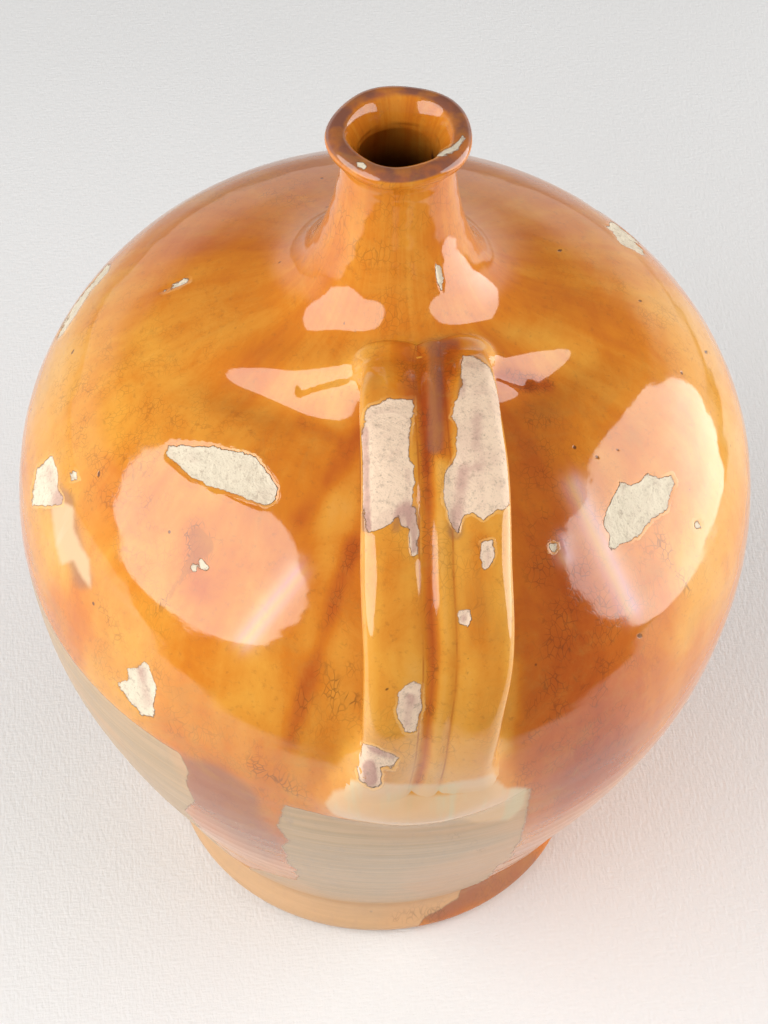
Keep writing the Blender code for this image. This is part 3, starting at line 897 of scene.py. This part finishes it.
def bodyDistance(points):
    # how far points lie outside the body as it is made, with its luting clay
    flat = np.stack((np.hypot(points[:, 0], points[:, 1]), points[:, 2]), 1)
    outline = [(0.0, outerLine[0][1]), *outerLine[::2], (0.0, outerLine[-1][1])]
    return signedDistance(flat, outline) + handMade(points) - luteRise(points)


def softer(first, second):
    # the nearer of two distances, with a fillet where they are alike
    share = np.clip(handle["fillet"] - np.abs(first - second), 0, None) / handle["fillet"]
    return np.minimum(first, second) - share * share * handle["fillet"] / 4


def liftSkin(points, outward):
    # raises the body's skin over its luting clay and up to the strap
    rise = luteRise(points)
    lift = rise.copy()
    beside = (np.abs(points[:, 0]) < handle["width"]) & (points[:, 1] < 0)
    near = np.flatnonzero(beside & (points[:, 2] > handle["lowest"]))
    for move in range(handle["moves"]):
        spots = points[near] + outward[near] * lift[near, None]
        lift[near] -= softer(lift[near] - rise[near], strapDistance(spots))
        lift[near] = np.clip(lift[near], rise[near], handle["skinLift"])
    strapGap = np.full(len(points), coats["reach"])
    strapGap[near] = strapDistance(points[near] + outward[near] * lift[near, None])
    bodyGap = lift - rise
    dip = np.clip((bodyGap - strapGap) / handle["fillet"], 0, 1) * handle["tuck"]
    return lift - dip, strapGap


def pressBody(skin, places):
    # presses the hand-made unevenness and the lost glaze inwards
    mesh = skin.data
    points, along = readPoints(mesh), readValues(mesh, "along")
    fade = body["seamFade"]
    outside = ease(along, places["foot"] - fade, places["foot"] + fade)
    outside *= 1 - ease(along, places["lip"] - fade, places["lip"])
    chip, pale = markCoats(skin, bodyChips, toneStreaks)
    clay = 1 - ease(chip, *body["clayEdge"])
    slip = (1 - ease(pale, *body["slipEdge"])) * body["slipShare"]
    spots = inPicture(points)[0]
    creased = streakSum(spots, creases) * ease(facing(points, outwardOfBody(points)), 0.1, 0.3)
    pressed = (handMade(points) + creased + body["glaze"] * np.maximum(clay, slip)) * outside
    onLip = (along > places["lip"] - 1) * (along < places["lipInside"])
    azimuth = azimuthOf(points)
    uneven = body["lipSway"] * (1 + np.sin(2 * azimuth + 1.0))
    uneven += body["lipWaves"] * (1 + np.sin(5 * azimuth)) * (points[:, 2] > body["lipHeights"][1])
    pressed += (body["glaze"] * 1.2 * clay + uneven * ease(points[:, 2], *body["lipHeights"])) * onLip
    writePoints(mesh, points - outwardOfBody(points) * pressed[:, None])


def luteOn(skin, name, wanted):
    # a copy of the lifted faces, closed underneath by a bed just inside the wall
    selectFaces(skin.data, wanted)
    selectOnly(skin)
    before = set(bpy.data.objects)
    bpy.ops.object.mode_set(mode="EDIT")
    bpy.ops.mesh.select_mode(type="FACE")
    bpy.ops.mesh.duplicate()
    bpy.ops.mesh.separate(type="SELECTED")
    bpy.ops.object.mode_set(mode="OBJECT")
    clay = (set(bpy.data.objects) - before).pop()
    clay.name = name
    clay.data.name = name
    selectOnly(clay)
    bpy.ops.object.mode_set(mode="EDIT")
    bpy.ops.mesh.select_all(action="SELECT")
    bpy.ops.mesh.extrude_region_move(TRANSFORM_OT_translate={"value": (0, 0, 0)})
    bpy.ops.object.mode_set(mode="OBJECT")
    mesh = clay.data
    top = np.empty(len(mesh.vertices), dtype=bool)
    mesh.vertices.foreach_get("select", top)
    points, normals = readPoints(mesh), readVectors(mesh, "wholeNormal")
    wall = readVectors(mesh, "wallPoint")
    mesh.attributes.remove(mesh.attributes["wallPoint"])
    bed = wall - outwardOfBody(wall) * handle["bed"]
    writePoints(mesh, np.where(top[:, None], points, bed))
    storeVectors(mesh, "wholeNormal", np.where(top[:, None], normals, 0))
    pointOutwards(clay)
    return clay


def makeBody():
    line, places = wholeOutline()
    skin = drawLine("skin", [(radius, 0.0, height) for radius, height in line])
    storeValues(skin.data, "along", range(len(line)))
    selectOnly(skin)
    bpy.ops.object.mode_set(mode="EDIT")
    bpy.ops.mesh.select_all(action="SELECT")
    bpy.ops.mesh.spin(steps=body["turns"], angle=math.tau, center=(0, 0, 0), axis=(0, 0, 1))
    bpy.ops.mesh.select_all(action="SELECT")
    bpy.ops.mesh.remove_doubles(threshold=mergeDistance)
    bpy.ops.object.mode_set(mode="OBJECT")
    pointOutwards(skin)
    pressBody(skin, places)

    # the glaze runs on over the luting clay, so the normals are taken with it in place
    mesh = skin.data
    wall, along = readPoints(mesh), readValues(mesh, "along")
    outward = outwardOfBody(wall)
    outside = (along > places["foot"]) & (along < places["lip"])
    lift, strapGap = liftSkin(wall, outward)
    lift = np.where(outside, lift, 0)
    strapGap = np.where(outside, strapGap, coats["reach"])
    storeVectors(mesh, "wallPoint", wall)
    storeValues(mesh, "strap", 1 - ease(strapGap, 0.001, 0.010))
    storeValues(mesh, "across", np.full(len(wall), 9.0))  # far from any of the strap's ribs
    inside = (along > places["lip"] + 4) * (wall[:, 2] > body["footEdgeHeight"])
    # painted shade in the bore, darker downwards
    storeValues(mesh, "deep", inside * (1 - ease(wall[:, 2], *body["throatHeights"])))
    upward = ease(readNormals(mesh)[:, 2], 0.05, 0.70)
    lipTop = upward * ease(np.hypot(wall[:, 0], wall[:, 1]), *body["lipTopRadii"])
    storeValues(mesh, "rim", lipTop * (wall[:, 2] > body["neckTopHeight"]))
    writePoints(mesh, wall + outward * lift[:, None])
    storeVectors(mesh, "wholeNormal", readNormals(mesh))
    lifted = facePlaces(mesh, (np.abs(lift) > handle["leastLift"]).astype(float)) > 0
    high = facePlaces(mesh, wall[:, 2]) > handle["middle"]
    wad = luteOn(skin, "wadGlazed", lifted & high)
    pad = luteOn(skin, "padGlazed", lifted & ~high)
    writePoints(mesh, wall)
    mesh.attributes.remove(mesh.attributes["wallPoint"])

    pieces = [(wad, "handle_top_wad"), (pad, "handle_foot_pad")]
    names = (("footFloor", "foot_floor", 0, "foot", "footInside", len(line)),
             ("lowerWall", "lower_wall", "foot", "belly", "bellyInside", "footInside"),
             ("upperWall", "upper_wall", "belly", "neck", "neckInside", "bellyInside"),
             ("neck", "neck", "neck", "lip", "lipInside", "neckInside"),
             ("lip", "lip", "lip", "lipInside", "lipInside", "lipInside"))
    places.update({0: 0, len(line): len(line)})
    for name, node, first, last, insideFirst, insideLast in names:
        along = facePlaces(skin.data, readValues(skin.data, "along"))
        outer = (along > places[first]) & (along < places[last])
        inner = (along > places[insideFirst]) & (along < places[insideLast])
        piece = takeFaces(skin, name + "Glazed", outer | inner) if name != "lip" else skin
        piece.name = name + "Glazed"
        ends = [(places[a], places[b]) for a, b in ((first, insideLast), (last, insideFirst)) if a != 0]
        if name == "lip":
            ends = [(places["lip"], places["lipInside"])]
        for rings in ends:
            if rings[1] != len(line):
                closeEnd(piece, rings, readValues(piece.data, "along"))
        pointOutwards(piece)
        pieces.append((piece, node))
    for piece, node in pieces:
        useStoredNormals(piece.data)
    return pieces


def makeStrap():
    # modelled straight, its section extruded towards -Y, then bent along the handle's line
    section = smoothCurve(sectionOutline, handle["sectionGrain"])[:-1]
    strap = drawLine("strapGlazed", [(across, 0.0, -depth) for across, depth in section], closed=True)
    gap = handle["grain"]
    selectOnly(strap)
    bpy.ops.object.mode_set(mode="EDIT")
    bpy.ops.mesh.select_all(action="SELECT")
    bpy.ops.mesh.edge_face_add()
    for station in stations[1:]:
        bpy.ops.mesh.extrude_region_move(TRANSFORM_OT_translate={"value": (0, -gap, 0)})
    bpy.ops.object.mode_set(mode="OBJECT")
    points = readPoints(strap.data)
    index = np.clip(np.rint(-points[:, 1] / gap).astype(int), 0, len(stations) - 1)
    radius, height, width, thickness = stations[index].T
    run = index * gap
    across = points[:, 0] / handle["width"] * width
    side = across / width * 2
    depth = -points[:, 2] / handle["thickness"] * thickness
    sway, quiver, swell, ripple = (handle[key] for key in ("sway", "quiver", "swell", "ripple"))
    across += sway[0] * np.sin(run / sway[1] + 1 + side) + quiver[0] * np.sin(run / quiver[1])
    top = 1 - ease(depth, 0, handle["thickness"] / 2)
    waves = handle["press"] + swell[0] * np.sin(run / swell[1] + 3 * side)
    depth += top * (waves + ripple[0] * np.sin(run / ripple[1] - 5 * side))
    bent = np.stack((across + strapShifts[index], -(radius + strapWays[index, 1] * depth),
                     height - strapWays[index, 0] * depth), 1)
    writePoints(strap.data, bent)
    pointOutwards(strap)

    # the clay and glaze run on into the body, and dip under its skin beyond the joint
    mesh = strap.data
    outward = readNormals(mesh)
    lift = np.zeros(len(bent))
    for move in range(handle["moves"]):
        lift -= softer(lift, bodyDistance(bent + outward * lift[:, None]))
        lift = np.clip(lift, 0, handle["strapLift"])
    joined = bodyDistance(bent + outward * lift[:, None])
    lift -= np.clip((lift - joined) / handle["fillet"], 0, 1) * handle["tuck"]
    writePoints(mesh, bent + outward * lift[:, None])
    chip = markCoats(strap, handleChips, strapTones, farSide=False)[0]
    storeValues(mesh, "strap", np.ones(len(bent)))
    storeValues(mesh, "across", side / 2)
    # painted shade in the grooves and painted highlight on the middle ridge and the edges, as tone
    wide, narrow, middle = (np.exp(-((side / 2 - place) / width) ** 2) for place, width in
                            (handle["wideGroove"], handle["narrowGroove"], handle["ridge"]))
    paintedGrooveShade = wide + 0.25 * narrow
    ridge = middle + ease(np.abs(side), 0.78, 0.95)
    storeValues(mesh, "tone", readValues(mesh, "tone") - 0.50 * paintedGrooveShade + 0.14 * ridge)
    storeValues(mesh, "deep", np.zeros(len(bent)))
    storeValues(mesh, "rim", np.zeros(len(bent)))
    clay = 1 - ease(chip, *handle["clayEdge"])
    writePoints(mesh, readPoints(mesh) - outward * (body["glaze"] * clay)[:, None])
    return strap


# Materials

class Wire:
    # a socket's value, used in sums like a number
    def __init__(self, shade, socket):
        self.shade = shade
        self.socket = socket

    def math(self, operation, *others, first=None):
        values = [self, *others] if first is None else [first, self]
        return self.shade.node("ShaderNodeMath", {"operation": operation}, dict(enumerate(values)))

    def __add__(self, other):
        return self.math("ADD", other)

    def __sub__(self, other):
        return self.math("SUBTRACT", other)

    def __mul__(self, other):
        return self.math("MULTIPLY", other)

    def __rsub__(self, other):
        return self.math("SUBTRACT", first=other)

    __radd__ = __add__
    __rmul__ = __mul__


class Shade:
    # a material, or the world, being put together
    def __init__(self, owner, surface="Principled BSDF"):
        self.owner = owner
        self.owner.use_nodes = True
        self.tree = self.owner.node_tree
        self.surface = self.tree.nodes[surface]

    def node(self, kind, settings=None, inputs=None, output=0):
        made = self.tree.nodes.new(kind)
        for key, value in (settings or {}).items():
            if key == "stops":
                ramp = made.color_ramp
                while len(ramp.elements) < len(value):
                    ramp.elements.new(1.0)
                for element, (position, colour) in zip(ramp.elements, value):
                    element.position = position
                    element.color = (*colour, 1.0)
            else:
                setattr(made, key, value)
        for key, value in (inputs or {}).items():
            self.feed(made.inputs[key], value)
        return Wire(self, made.outputs[output])

    def feed(self, socket, value):
        if isinstance(value, Wire):
            self.tree.links.new(value.socket, socket)
        elif isinstance(value, tuple) and len(value) == 3 and socket.type == "RGBA":
            socket.default_value = (*value, 1.0)
        else:
            socket.default_value = value

    def vector(self, operation, inputs):
        return self.node("ShaderNodeVectorMath", {"operation": operation}, inputs)

    def cells(self, place, scale, feature="F1", output="Distance"):
        inputs = {"Vector": place, "Scale": scale}
        return self.node("ShaderNodeTexVoronoi", {"feature": feature}, inputs, output)

    def lineAt(self, value, place, low, high):
        # 1 within low of a place, 0 from high on
        return 1 - self.step((value - place).math("ABSOLUTE"), low, high)

    def stored(self, name):
        return self.node("ShaderNodeAttribute", {"attribute_name": name}, output="Fac")

    def step(self, value, low, high):
        # 0 up to low, 1 from high, smooth between
        inputs = {"Value": value, "From Min": low, "From Max": high}
        return self.node("ShaderNodeMapRange", {"interpolation_type": "SMOOTHSTEP"}, inputs)

    def noise(self, place, scale, detail=3.0, roughness=0.5, distortion=0.0):
        inputs = {"Vector": place, "Scale": scale, "Detail": detail, "Roughness": roughness}
        inputs["Distortion"] = distortion
        return self.node("ShaderNodeTexNoise", None, inputs)

    def mix(self, share, first, second, blend="MIX"):
        settings = {"data_type": "RGBA", "blend_type": blend, "clamp_factor": True}
        return self.node("ShaderNodeMix", settings, {"Factor": share, 6: first, 7: second}, output=2)

    def place(self, scale):
        # Object coordinates, stretched by a scale for each axis
        spot = self.node("ShaderNodeTexCoord", output="Object")
        return self.node("ShaderNodeMapping", None, {"Vector": spot, "Scale": scale})

    def height(self):
        spot = self.node("ShaderNodeTexCoord", output="Object")
        return self.node("ShaderNodeSeparateXYZ", None, {0: spot}, output="Z")


glaze = {
    "rust": (0.360, 0.062, 0.007),
    "orange": (0.490, 0.118, 0.013),
    "amber": (0.600, 0.188, 0.015),
    "yellow": (0.690, 0.300, 0.038),
    "mustard": (0.700, 0.360, 0.080),
    "lipBrown": (0.230, 0.085, 0.052),
    "lipRed": (0.380, 0.115, 0.040),
    "mauve": (0.240, 0.105, 0.070),
    # painted shade for the bore
    "throat": (0.030, 0.010, 0.003),
    "clay": (0.700, 0.610, 0.460),
    "clayPeach": (0.800, 0.575, 0.405),
    "clayPink": (0.500, 0.290, 0.230),
    "clayDark": (0.330, 0.240, 0.170),
    "slip": (0.500, 0.335, 0.187),
    "slipGrey": (0.370, 0.258, 0.145),
    "slipOrange": (0.640, 0.345, 0.160),
    "cream": (0.700, 0.450, 0.240),
    "creamGreen": (0.620, 0.500, 0.300),
    "craze": (0.110, 0.035, 0.010),
    "dust": (0.330, 0.110, 0.020),
    "olive": (0.480, 0.230, 0.040),
    "burn": (0.060, 0.020, 0.010),
    "stain": (0.150, 0.060, 0.015),
    # painted highlight on the glaze's rim round chips
    "paintedRimHighlight": (0.860, 0.480, 0.150),
    "edgeShade": (0.160, 0.070, 0.030),
    "slipLine": (0.300, 0.170, 0.090),
    "refraction": 1.60,
    "roughness": 0.065,
    "slipRoughness": 0.30,
    "clayRoughness": 0.85,
    "cloudScale": 11.0,  # how many of each pattern's features go into a metre
    "dripScale": 26.0,
    "fineDripScale": 95.0,
    "mottleScale": 46.0,
    "fineScale": 120.0,
    "pitScale": 120.0,
    "crazeScale": 560.0,
    "dustScale": 420.0,
    "speckleScale": 430.0,
    "gritScale": 1300.0,
    "crazeStrength": 0.36,
    "filmSheenStrength": 0.30,
    "handRelief": 0.00070,  # the reliefs, in metres
    "peelRelief": 0.00020,
    "bubbleRelief": 0.00003,
    "crazeRelief": 0.000003,
    "pitRelief": 0.00005,
    "rimRelief": 0.00008,
    "throwingRelief": 0.00022,
    "clayStep": 0.00028,
}


def glazedClay(name, slipAllowed=True):
    shade = Shade(bpy.data.materials.new(name))
    spot = shade.place((1, 1, 1))
    around = shade.vector("NORMALIZE", {0: shade.place((1, 1, 0))})
    reach = shade.vector("SCALE", {0: around, "Scale": coats["unrolledRadius"]})
    drips = shade.vector("ADD", {0: reach, 1: shade.place((0.12, 0.12, 0.18))})
    chip, pale, cream, tone = (shade.stored(key) for key in ("chip", "pale", "cream", "tone"))
    height = shade.height()

    # the glaze's own colour, in drips and clouds
    cloud = shade.noise(spot, glaze["cloudScale"], 3.0, 0.55, 0.6)
    drip = shade.noise(drips, glaze["dripScale"], 4.0, 0.6, 0.4)
    fineDrip = shade.noise(drips, glaze["fineDripScale"], 3.0, 0.6, 0.3)
    fine = shade.noise(spot, glaze["fineScale"], 4.0, 0.6)
    mottle = shade.noise(shade.place((1, 1, 0.7)), glaze["mottleScale"], 7.0, 0.72, 0.5)
    mood = tone + (cloud - 0.5) * 0.40 + (drip - 0.5) * 0.50 + (fineDrip - 0.5) * 0.26
    mood = mood + (mottle - 0.5) * 0.62 + shade.stored("strap") * 0.18 + 0.52
    stops = list(zip((0.0, 0.28, 0.52, 0.76, 1.0),
                     (glaze[key] for key in ("rust", "orange", "amber", "yellow", "mustard"))))
    colour = shade.node("ShaderNodeValToRGB", {"stops": stops}, {0: mood})

    # brown on top of the lip, and painted shade darkening the throat downwards
    lipTop = shade.step(shade.stored("rim") + (fine - 0.5) * 0.9, 0.22, 0.85)
    reddened = shade.step(shade.noise(spot, 70.0, 4.0, 0.6), 0.44, 0.62)
    lipColour = shade.mix(reddened, glaze["lipBrown"], glaze["lipRed"])
    thick = 0.60 + 0.5 * shade.step(shade.noise(spot, 110.0, 3.0), 0.40, 0.60)
    colour = shade.mix(lipTop * thick, colour, lipColour)
    colour = shade.mix(shade.stored("deep") * 0.92, colour, glaze["throat"])

    # pits and specks burnt into the glaze, by chance and where the picture shows them
    chosen = shade.cells(spot, glaze["pitScale"], output="Color")
    lucky = shade.step(shade.node("ShaderNodeSeparateColor", None, {0: chosen}), 0.91, 0.93)
    pit = (1 - shade.step(shade.cells(spot, glaze["pitScale"]), 0.05, 0.10)) * lucky
    pit = pit.math("MAXIMUM", shade.step(shade.stored("burn") + (fine - 0.5) * 0.5, 0.25, 0.55))
    colour = shade.mix(pit * 0.80, colour, glaze["burn"])

    # craze lines, mostly upright, with old oil in some
    wander = shade.node("ShaderNodeTexNoise", None, {"Vector": spot, "Scale": 60.0}, output="Color")
    bent = shade.vector("SCALE", {0: wander, "Scale": 0.010})
    crazePlace = shade.vector("ADD", {0: shade.place((1, 1, 0.45)), 1: bent})
    lines = shade.cells(crazePlace, glaze["crazeScale"], "DISTANCE_TO_EDGE")
    crazeWhere = shade.step(shade.noise(spot, 16.0, 3.0) + (cloud - 0.5) * 0.3, 0.40, 0.70)
    crazeWhere = crazeWhere.math("MAXIMUM", 1.3 * shade.step(0 - tone, 0.06, 0.24))
    broken = shade.step(shade.noise(spot, 130.0, 2.0), 0.40, 0.60)
    craze = (1 - shade.step(lines, 0.010, 0.080)) * crazeWhere * broken
    colour = shade.mix(craze * glaze["crazeStrength"], colour, glaze["craze"])
    stain = shade.stored("stain")
    soak = shade.step(stain + (fine - 0.5) * 0.6, 0.70, 1.00)
    inLines = (1 - soak) * stain * (1 - shade.step(lines, 0.01, 0.14)) * broken
    # mauve on the glaze: smears, and low on the wall a painted reflection of the table
    smearedAndVeiled = shade.step(shade.stored("smear") + (mottle - 0.5) * 0.6, 0.25, 0.90)
    colour = shade.mix(smearedAndVeiled * 0.62, colour, glaze["mauve"])

    # fine speckle and dust in the glaze
    dust = shade.noise(spot, glaze["dustScale"], 3.0, 0.7)
    colour = shade.mix(shade.step(dust, 0.54, 0.76) * 0.38, colour, glaze["dust"])
    olive = shade.step(shade.noise(spot, 32.0, 6.0, 0.75, 0.8), 0.48, 0.70) * 0.34
    colour = shade.mix(olive * (1 - shade.stored("deep")), colour, glaze["olive"])

    # a thin oily film on the glaze, in rainbow bands screened on as a painted reflection
    place = shade.stored("band") + (cloud - 0.5) * 0.20
    tints = [(0.0, (0.70, 0.60, 0.90)), (0.2, (0.95, 0.90, 0.62)), (0.4, (0.62, 0.72, 0.95)),
             (0.6, (0.95, 0.70, 0.62)), (0.8, (0.90, 0.92, 0.70)), (1.0, (0.70, 0.60, 0.90))]
    paintedFilmSheen = shade.node("ShaderNodeValToRGB", {"stops": tints}, {0: place.math("FRACT")})
    colour = shade.mix(shade.stored("film") * glaze["filmSheenStrength"], colour, paintedFilmSheen, "SCREEN")

    # pale slip on the lower wall
    ragged = (shade.noise(spot, 240.0, 4.0, 0.7) - 0.5) * 2.0
    throwing = shade.noise(shade.place((0.25, 0.25, 6.0)), 60.0, 4.0, 0.6, 0.3)
    onSlip = 1 - shade.step(pale + ragged, -0.25, 0.25)
    if slipAllowed:
        slipColour = shade.mix(shade.step(throwing, 0.40, 0.62) * 0.6, glaze["slip"], glaze["slipGrey"])
        scuffed = shade.step(shade.noise(shade.place((1.0, 1.0, 0.4)), 330.0, 4.0, 0.8), 0.46, 0.70)
        slipColour = shade.mix(scuffed * shade.step(mottle, 0.35, 0.65) * 0.6, slipColour, glaze["clayDark"])
        slipColour = shade.mix(shade.step(cloud, 0.50, 0.64) * 0.5, slipColour, glaze["slipOrange"])
        footTint = (1 - shade.step(height, 0.012, 0.055)) * 0.45
        slipColour = shade.mix(footTint, slipColour, glaze["slipOrange"])
        slipColour = shade.mix(pit * 0.5 + craze * 0.12, slipColour, glaze["clayDark"])
        colour = shade.mix(onSlip, colour, slipColour)
        edge = (1 - shade.step((pale + ragged).math("ABSOLUTE"), 0.15, 0.75)) * 0.45
        colour = shade.mix(edge, colour, glaze["slipLine"])

    # pale cream on the foot pad: a painted reflection of the table
    creamShift = (cloud - 0.5) * 1.6 + ragged * 0.5
    creamColour = shade.mix(shade.step(fineDrip, 0.45, 0.62), glaze["cream"], glaze["creamGreen"])
    colour = shade.mix((1 - shade.step(cream + creamShift, -1.2, 0.5)) * 0.85, colour, creamColour)

    colour = shade.mix(soak * 0.26 + inLines, colour, glaze["stain"])

    # bare clay where the glaze has come off, with a thin raised rim of glaze round some of it, painted bright
    # as a highlight
    chipEdge = chip + ragged * 1.3
    onClay = 1 - shade.step(chipEdge, -0.14, 0.14)
    speckle = shade.noise(spot, glaze["speckleScale"], 4.0, 0.8)
    grit = shade.noise(spot, glaze["gritScale"], 2.0, 0.6)
    patches = shade.noise(shade.place((1.0, 1.0, 0.55)), 85.0, 4.0, 0.65, 0.5)
    pinkShare = shade.step(patches, 0.50, 0.66) * (shade.stored("strap") * 0.3 + 0.3)
    clayColour = shade.mix(shade.stored("strap") * 0.8, glaze["clay"], glaze["clayPeach"])
    smear = shade.step(shade.stored("smear") * (patches * 1.2 + speckle * 0.5), 0.30, 0.85)
    clayColour = shade.mix(pinkShare * 0.4 + smear * 0.8, clayColour, glaze["clayPink"])
    clayColour = shade.mix(shade.step(speckle, 0.50, 0.72) * 0.55, clayColour, glaze["clayDark"])
    clayColour = shade.mix(shade.step(grit, 0.56, 0.76) * 0.55, clayColour, glaze["clayDark"])
    rimWhere = shade.step(shade.noise(spot, 38.0, 2.0), 0.44, 0.60) * (1 - shade.stored("rim"))
    # the rim is raised in relief and painted bright as a highlight
    rim = shade.lineAt(chipEdge, 0.50, 0.20, 0.60) * rimWhere
    colour = shade.mix(rim * 0.50, colour, glaze["paintedRimHighlight"])
    colour = shade.mix(onClay, colour, clayColour)
    # a painted shadow line along the chip's edge
    line = shade.lineAt(chipEdge, 0.04, 0.06, 0.26)
    colour = shade.mix(line * (shade.noise(spot, 55.0, 2.0) - 0.15) * 0.85, colour, glaze["edgeShade"])

    # thin dark lines along the strap's ribs, at its grooves
    across = shade.stored("across")
    ribs = shade.lineAt(across, 0.105, 0.003, 0.010)
    ribs = ribs.math("MAXIMUM", shade.lineAt(across, -0.114, 0.003, 0.010))
    colour = shade.mix(ribs * (1 - onClay) * shade.step(mottle, 0.40, 0.60) * 0.5, colour, glaze["rust"])

    # shine
    rough = glaze["roughness"] + (fine - 0.35) * 0.05 + onClay * (glaze["clayRoughness"] - glaze["roughness"])
    if slipAllowed:
        rough = rough + (1 - onClay) * onSlip * (glaze["slipRoughness"] - glaze["roughness"])
    shade.feed(shade.surface.inputs["Base Color"], colour)
    shade.feed(shade.surface.inputs["Roughness"], rough)
    shade.surface.inputs["IOR"].default_value = glaze["refraction"]

    # relief: hand-made unevenness, soft orange peel, craze, pits, and the grain of the bare clay
    hand = shade.noise(spot, 22.0, 2.0, 0.4)
    peel = shade.noise(spot, 60.0, 2.0, 0.4)
    bubbles = shade.noise(spot, 210.0, 2.0, 0.5)
    relief = hand * glaze["handRelief"] + peel * glaze["peelRelief"] + bubbles * glaze["bubbleRelief"]
    relief = relief - craze * glaze["crazeRelief"] - pit * glaze["pitRelief"]
    relief = relief + onClay * (grit * 0.00010 + speckle * 0.00034 + patches * 0.0012)
    relief = relief - onClay * glaze["clayStep"] + rim * glaze["rimRelief"]
    if slipAllowed:
        relief = relief + onSlip * throwing * glaze["throwingRelief"]
    bump = shade.node("ShaderNodeBump", None, {"Height": relief, "Strength": 1.0, "Distance": 1.0})
    shade.feed(shade.surface.inputs["Normal"], bump)
    return shade.owner


# Floor, lamps and background
studio = {
    "tableWest": -1.6,  # the cloth's four edges: it fades out into the pale room there
    "tableEast": 0.64,
    "tableNorth": 1.8,
    "tableSouth": -0.33,
    "fade": 0.06,
    "clothColour": (0.772, 0.772, 0.768),
    "clothShade": 0.975,  # how much darker the cloth gets in patches
    "threadScale": 900.0,
    "backColour": (0.845, 0.830, 0.815),
    "glow": 0.48,
    "ceiling": 0.15,  # how bright the upper room shows in reflections
}
lamps = (
    # name, azimuth, elevation, roll, distance, width, height, radiance
    ("leftLamp", -66, 26, 0, 1.20, 1.50, 1.30, 4.1),
    ("rightLamp", 83.4, 9.6, -35, 1.00, 1.42, 1.08, 3.9),
)


def makeStudio():
    bpy.ops.object.select_all(action="DESELECT")
    bpy.ops.mesh.primitive_plane_add(size=1, location=(0, 0, 0))
    floor = bpy.context.object
    floor.name = "floor"
    corners = readPoints(floor.data)
    for axis, low, high in ((0, "tableWest", "tableEast"), (1, "tableSouth", "tableNorth")):
        corners[:, axis] = np.where(corners[:, axis] < 0, studio[low], studio[high])
    writePoints(floor.data, corners)
    shade = Shade(bpy.data.materials.new("tableCloth"))
    spot = shade.place((1, 1, 1))
    weft = shade.noise(shade.place((1.0, 0.3, 1)), studio["threadScale"], 2.0)
    warp = shade.noise(shade.place((0.3, 1.0, 1)), studio["threadScale"], 2.0)
    weave = weft + warp
    soft = shade.noise(spot, 9.0, 3.0)
    pale = tuple(value * studio["clothShade"] for value in studio["clothColour"])
    colour = shade.mix(shade.step(weave * 0.5 + soft * 0.35, 0.45, 0.85), studio["clothColour"], pale)
    shade.feed(shade.surface.inputs["Base Color"], colour)
    shade.surface.inputs["Roughness"].default_value = 0.9
    bump = shade.node("ShaderNodeBump", None, {"Height": weave * 0.0002, "Strength": 1.0, "Distance": 1.0})
    shade.feed(shade.surface.inputs["Normal"], bump)
    edges = []
    for axis, low, high in (("X", "tableWest", "tableEast"), ("Y", "tableSouth", "tableNorth")):
        place = shade.node("ShaderNodeSeparateXYZ", None, {0: spot}, output=axis)
        edges.append(shade.step(place, studio[low], studio[low] + studio["fade"]))
        edges.append(1 - shade.step(place, studio[high] - studio["fade"], studio[high]))
    shade.feed(shade.surface.inputs["Alpha"], edges[0] * edges[1] * edges[2] * edges[3])
    floor.data.materials.append(shade.owner)

    for name, azimuth, elevation, roll, distance, width, height, radiance in lamps:
        turn, tilt = math.radians(azimuth), math.radians(elevation)
        aim = Vector((math.sin(turn) * math.cos(tilt), -math.cos(turn) * math.cos(tilt), math.sin(tilt)))
        data = bpy.data.lights.new(name, "AREA")
        data.shape = "ELLIPSE"
        data.size, data.size_y = width, height
        data.energy = radiance * math.pi * width * height * math.pi / 4
        lamp = bpy.data.objects.new(name, data)
        centre = Vector((0, 0, body["bellyHeight"]))
        turned = aim.to_track_quat("Z", "Y").to_matrix().to_4x4()
        turned = turned @ Matrix.Rotation(math.radians(roll), 4, "Z")
        lamp.matrix_world = Matrix.Translation(centre + aim * distance) @ turned
        lamp.visible_camera = False
        bpy.context.scene.collection.objects.link(lamp)

    wires = Shade(bpy.data.worlds.new("room"), "Background")
    bpy.context.scene.world = wires.owner
    kinds = ("Camera", "Glossy", "Transmission")
    path = {kind: wires.node("ShaderNodeLightPath", output=f"Is {kind} Ray") for kind in kinds}
    ahead = wires.node("ShaderNodeTexCoord", output="Generated")
    upward = wires.node("ShaderNodeSeparateXYZ", None, {0: ahead}, output="Z")
    mirrored = path["Glossy"].math("MAXIMUM", path["Transmission"])
    behind = wires.step(wires.node("ShaderNodeSeparateXYZ", None, {0: ahead}, output="Y"), -0.2, 0.3)
    wall = behind * (1 - wires.step(upward, 0.05, 0.35)) * wires.step(upward, -0.30, -0.20)
    room = wall * (1 - studio["ceiling"]) + studio["ceiling"]
    strength = studio["glow"] + path["Camera"] * (1 - studio["glow"]) + mirrored * (room - studio["glow"])
    wires.surface.inputs["Color"].default_value = (*studio["backColour"], 1.0)
    wires.feed(wires.surface.inputs["Strength"], strength)


bpy.context.scene.view_settings.view_transform = "Standard"
makeCamera()
makeStudio()
print("camera, floor and lamps made")

amberGlaze = glazedClay("amberGlaze")
handleGlaze = glazedClay("handleGlaze", slipAllowed=False)
print("glazes made")

for piece, node in makeBody():
    piece.data.materials.clear()
    piece.data.materials.append(amberGlaze)
    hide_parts(node)
    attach(piece, "root")
print("body made")

strap = makeStrap()
strap.data.materials.clear()
strap.data.materials.append(handleGlaze)
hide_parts("handle_strap")
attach(strap, "root")
print("handle made")
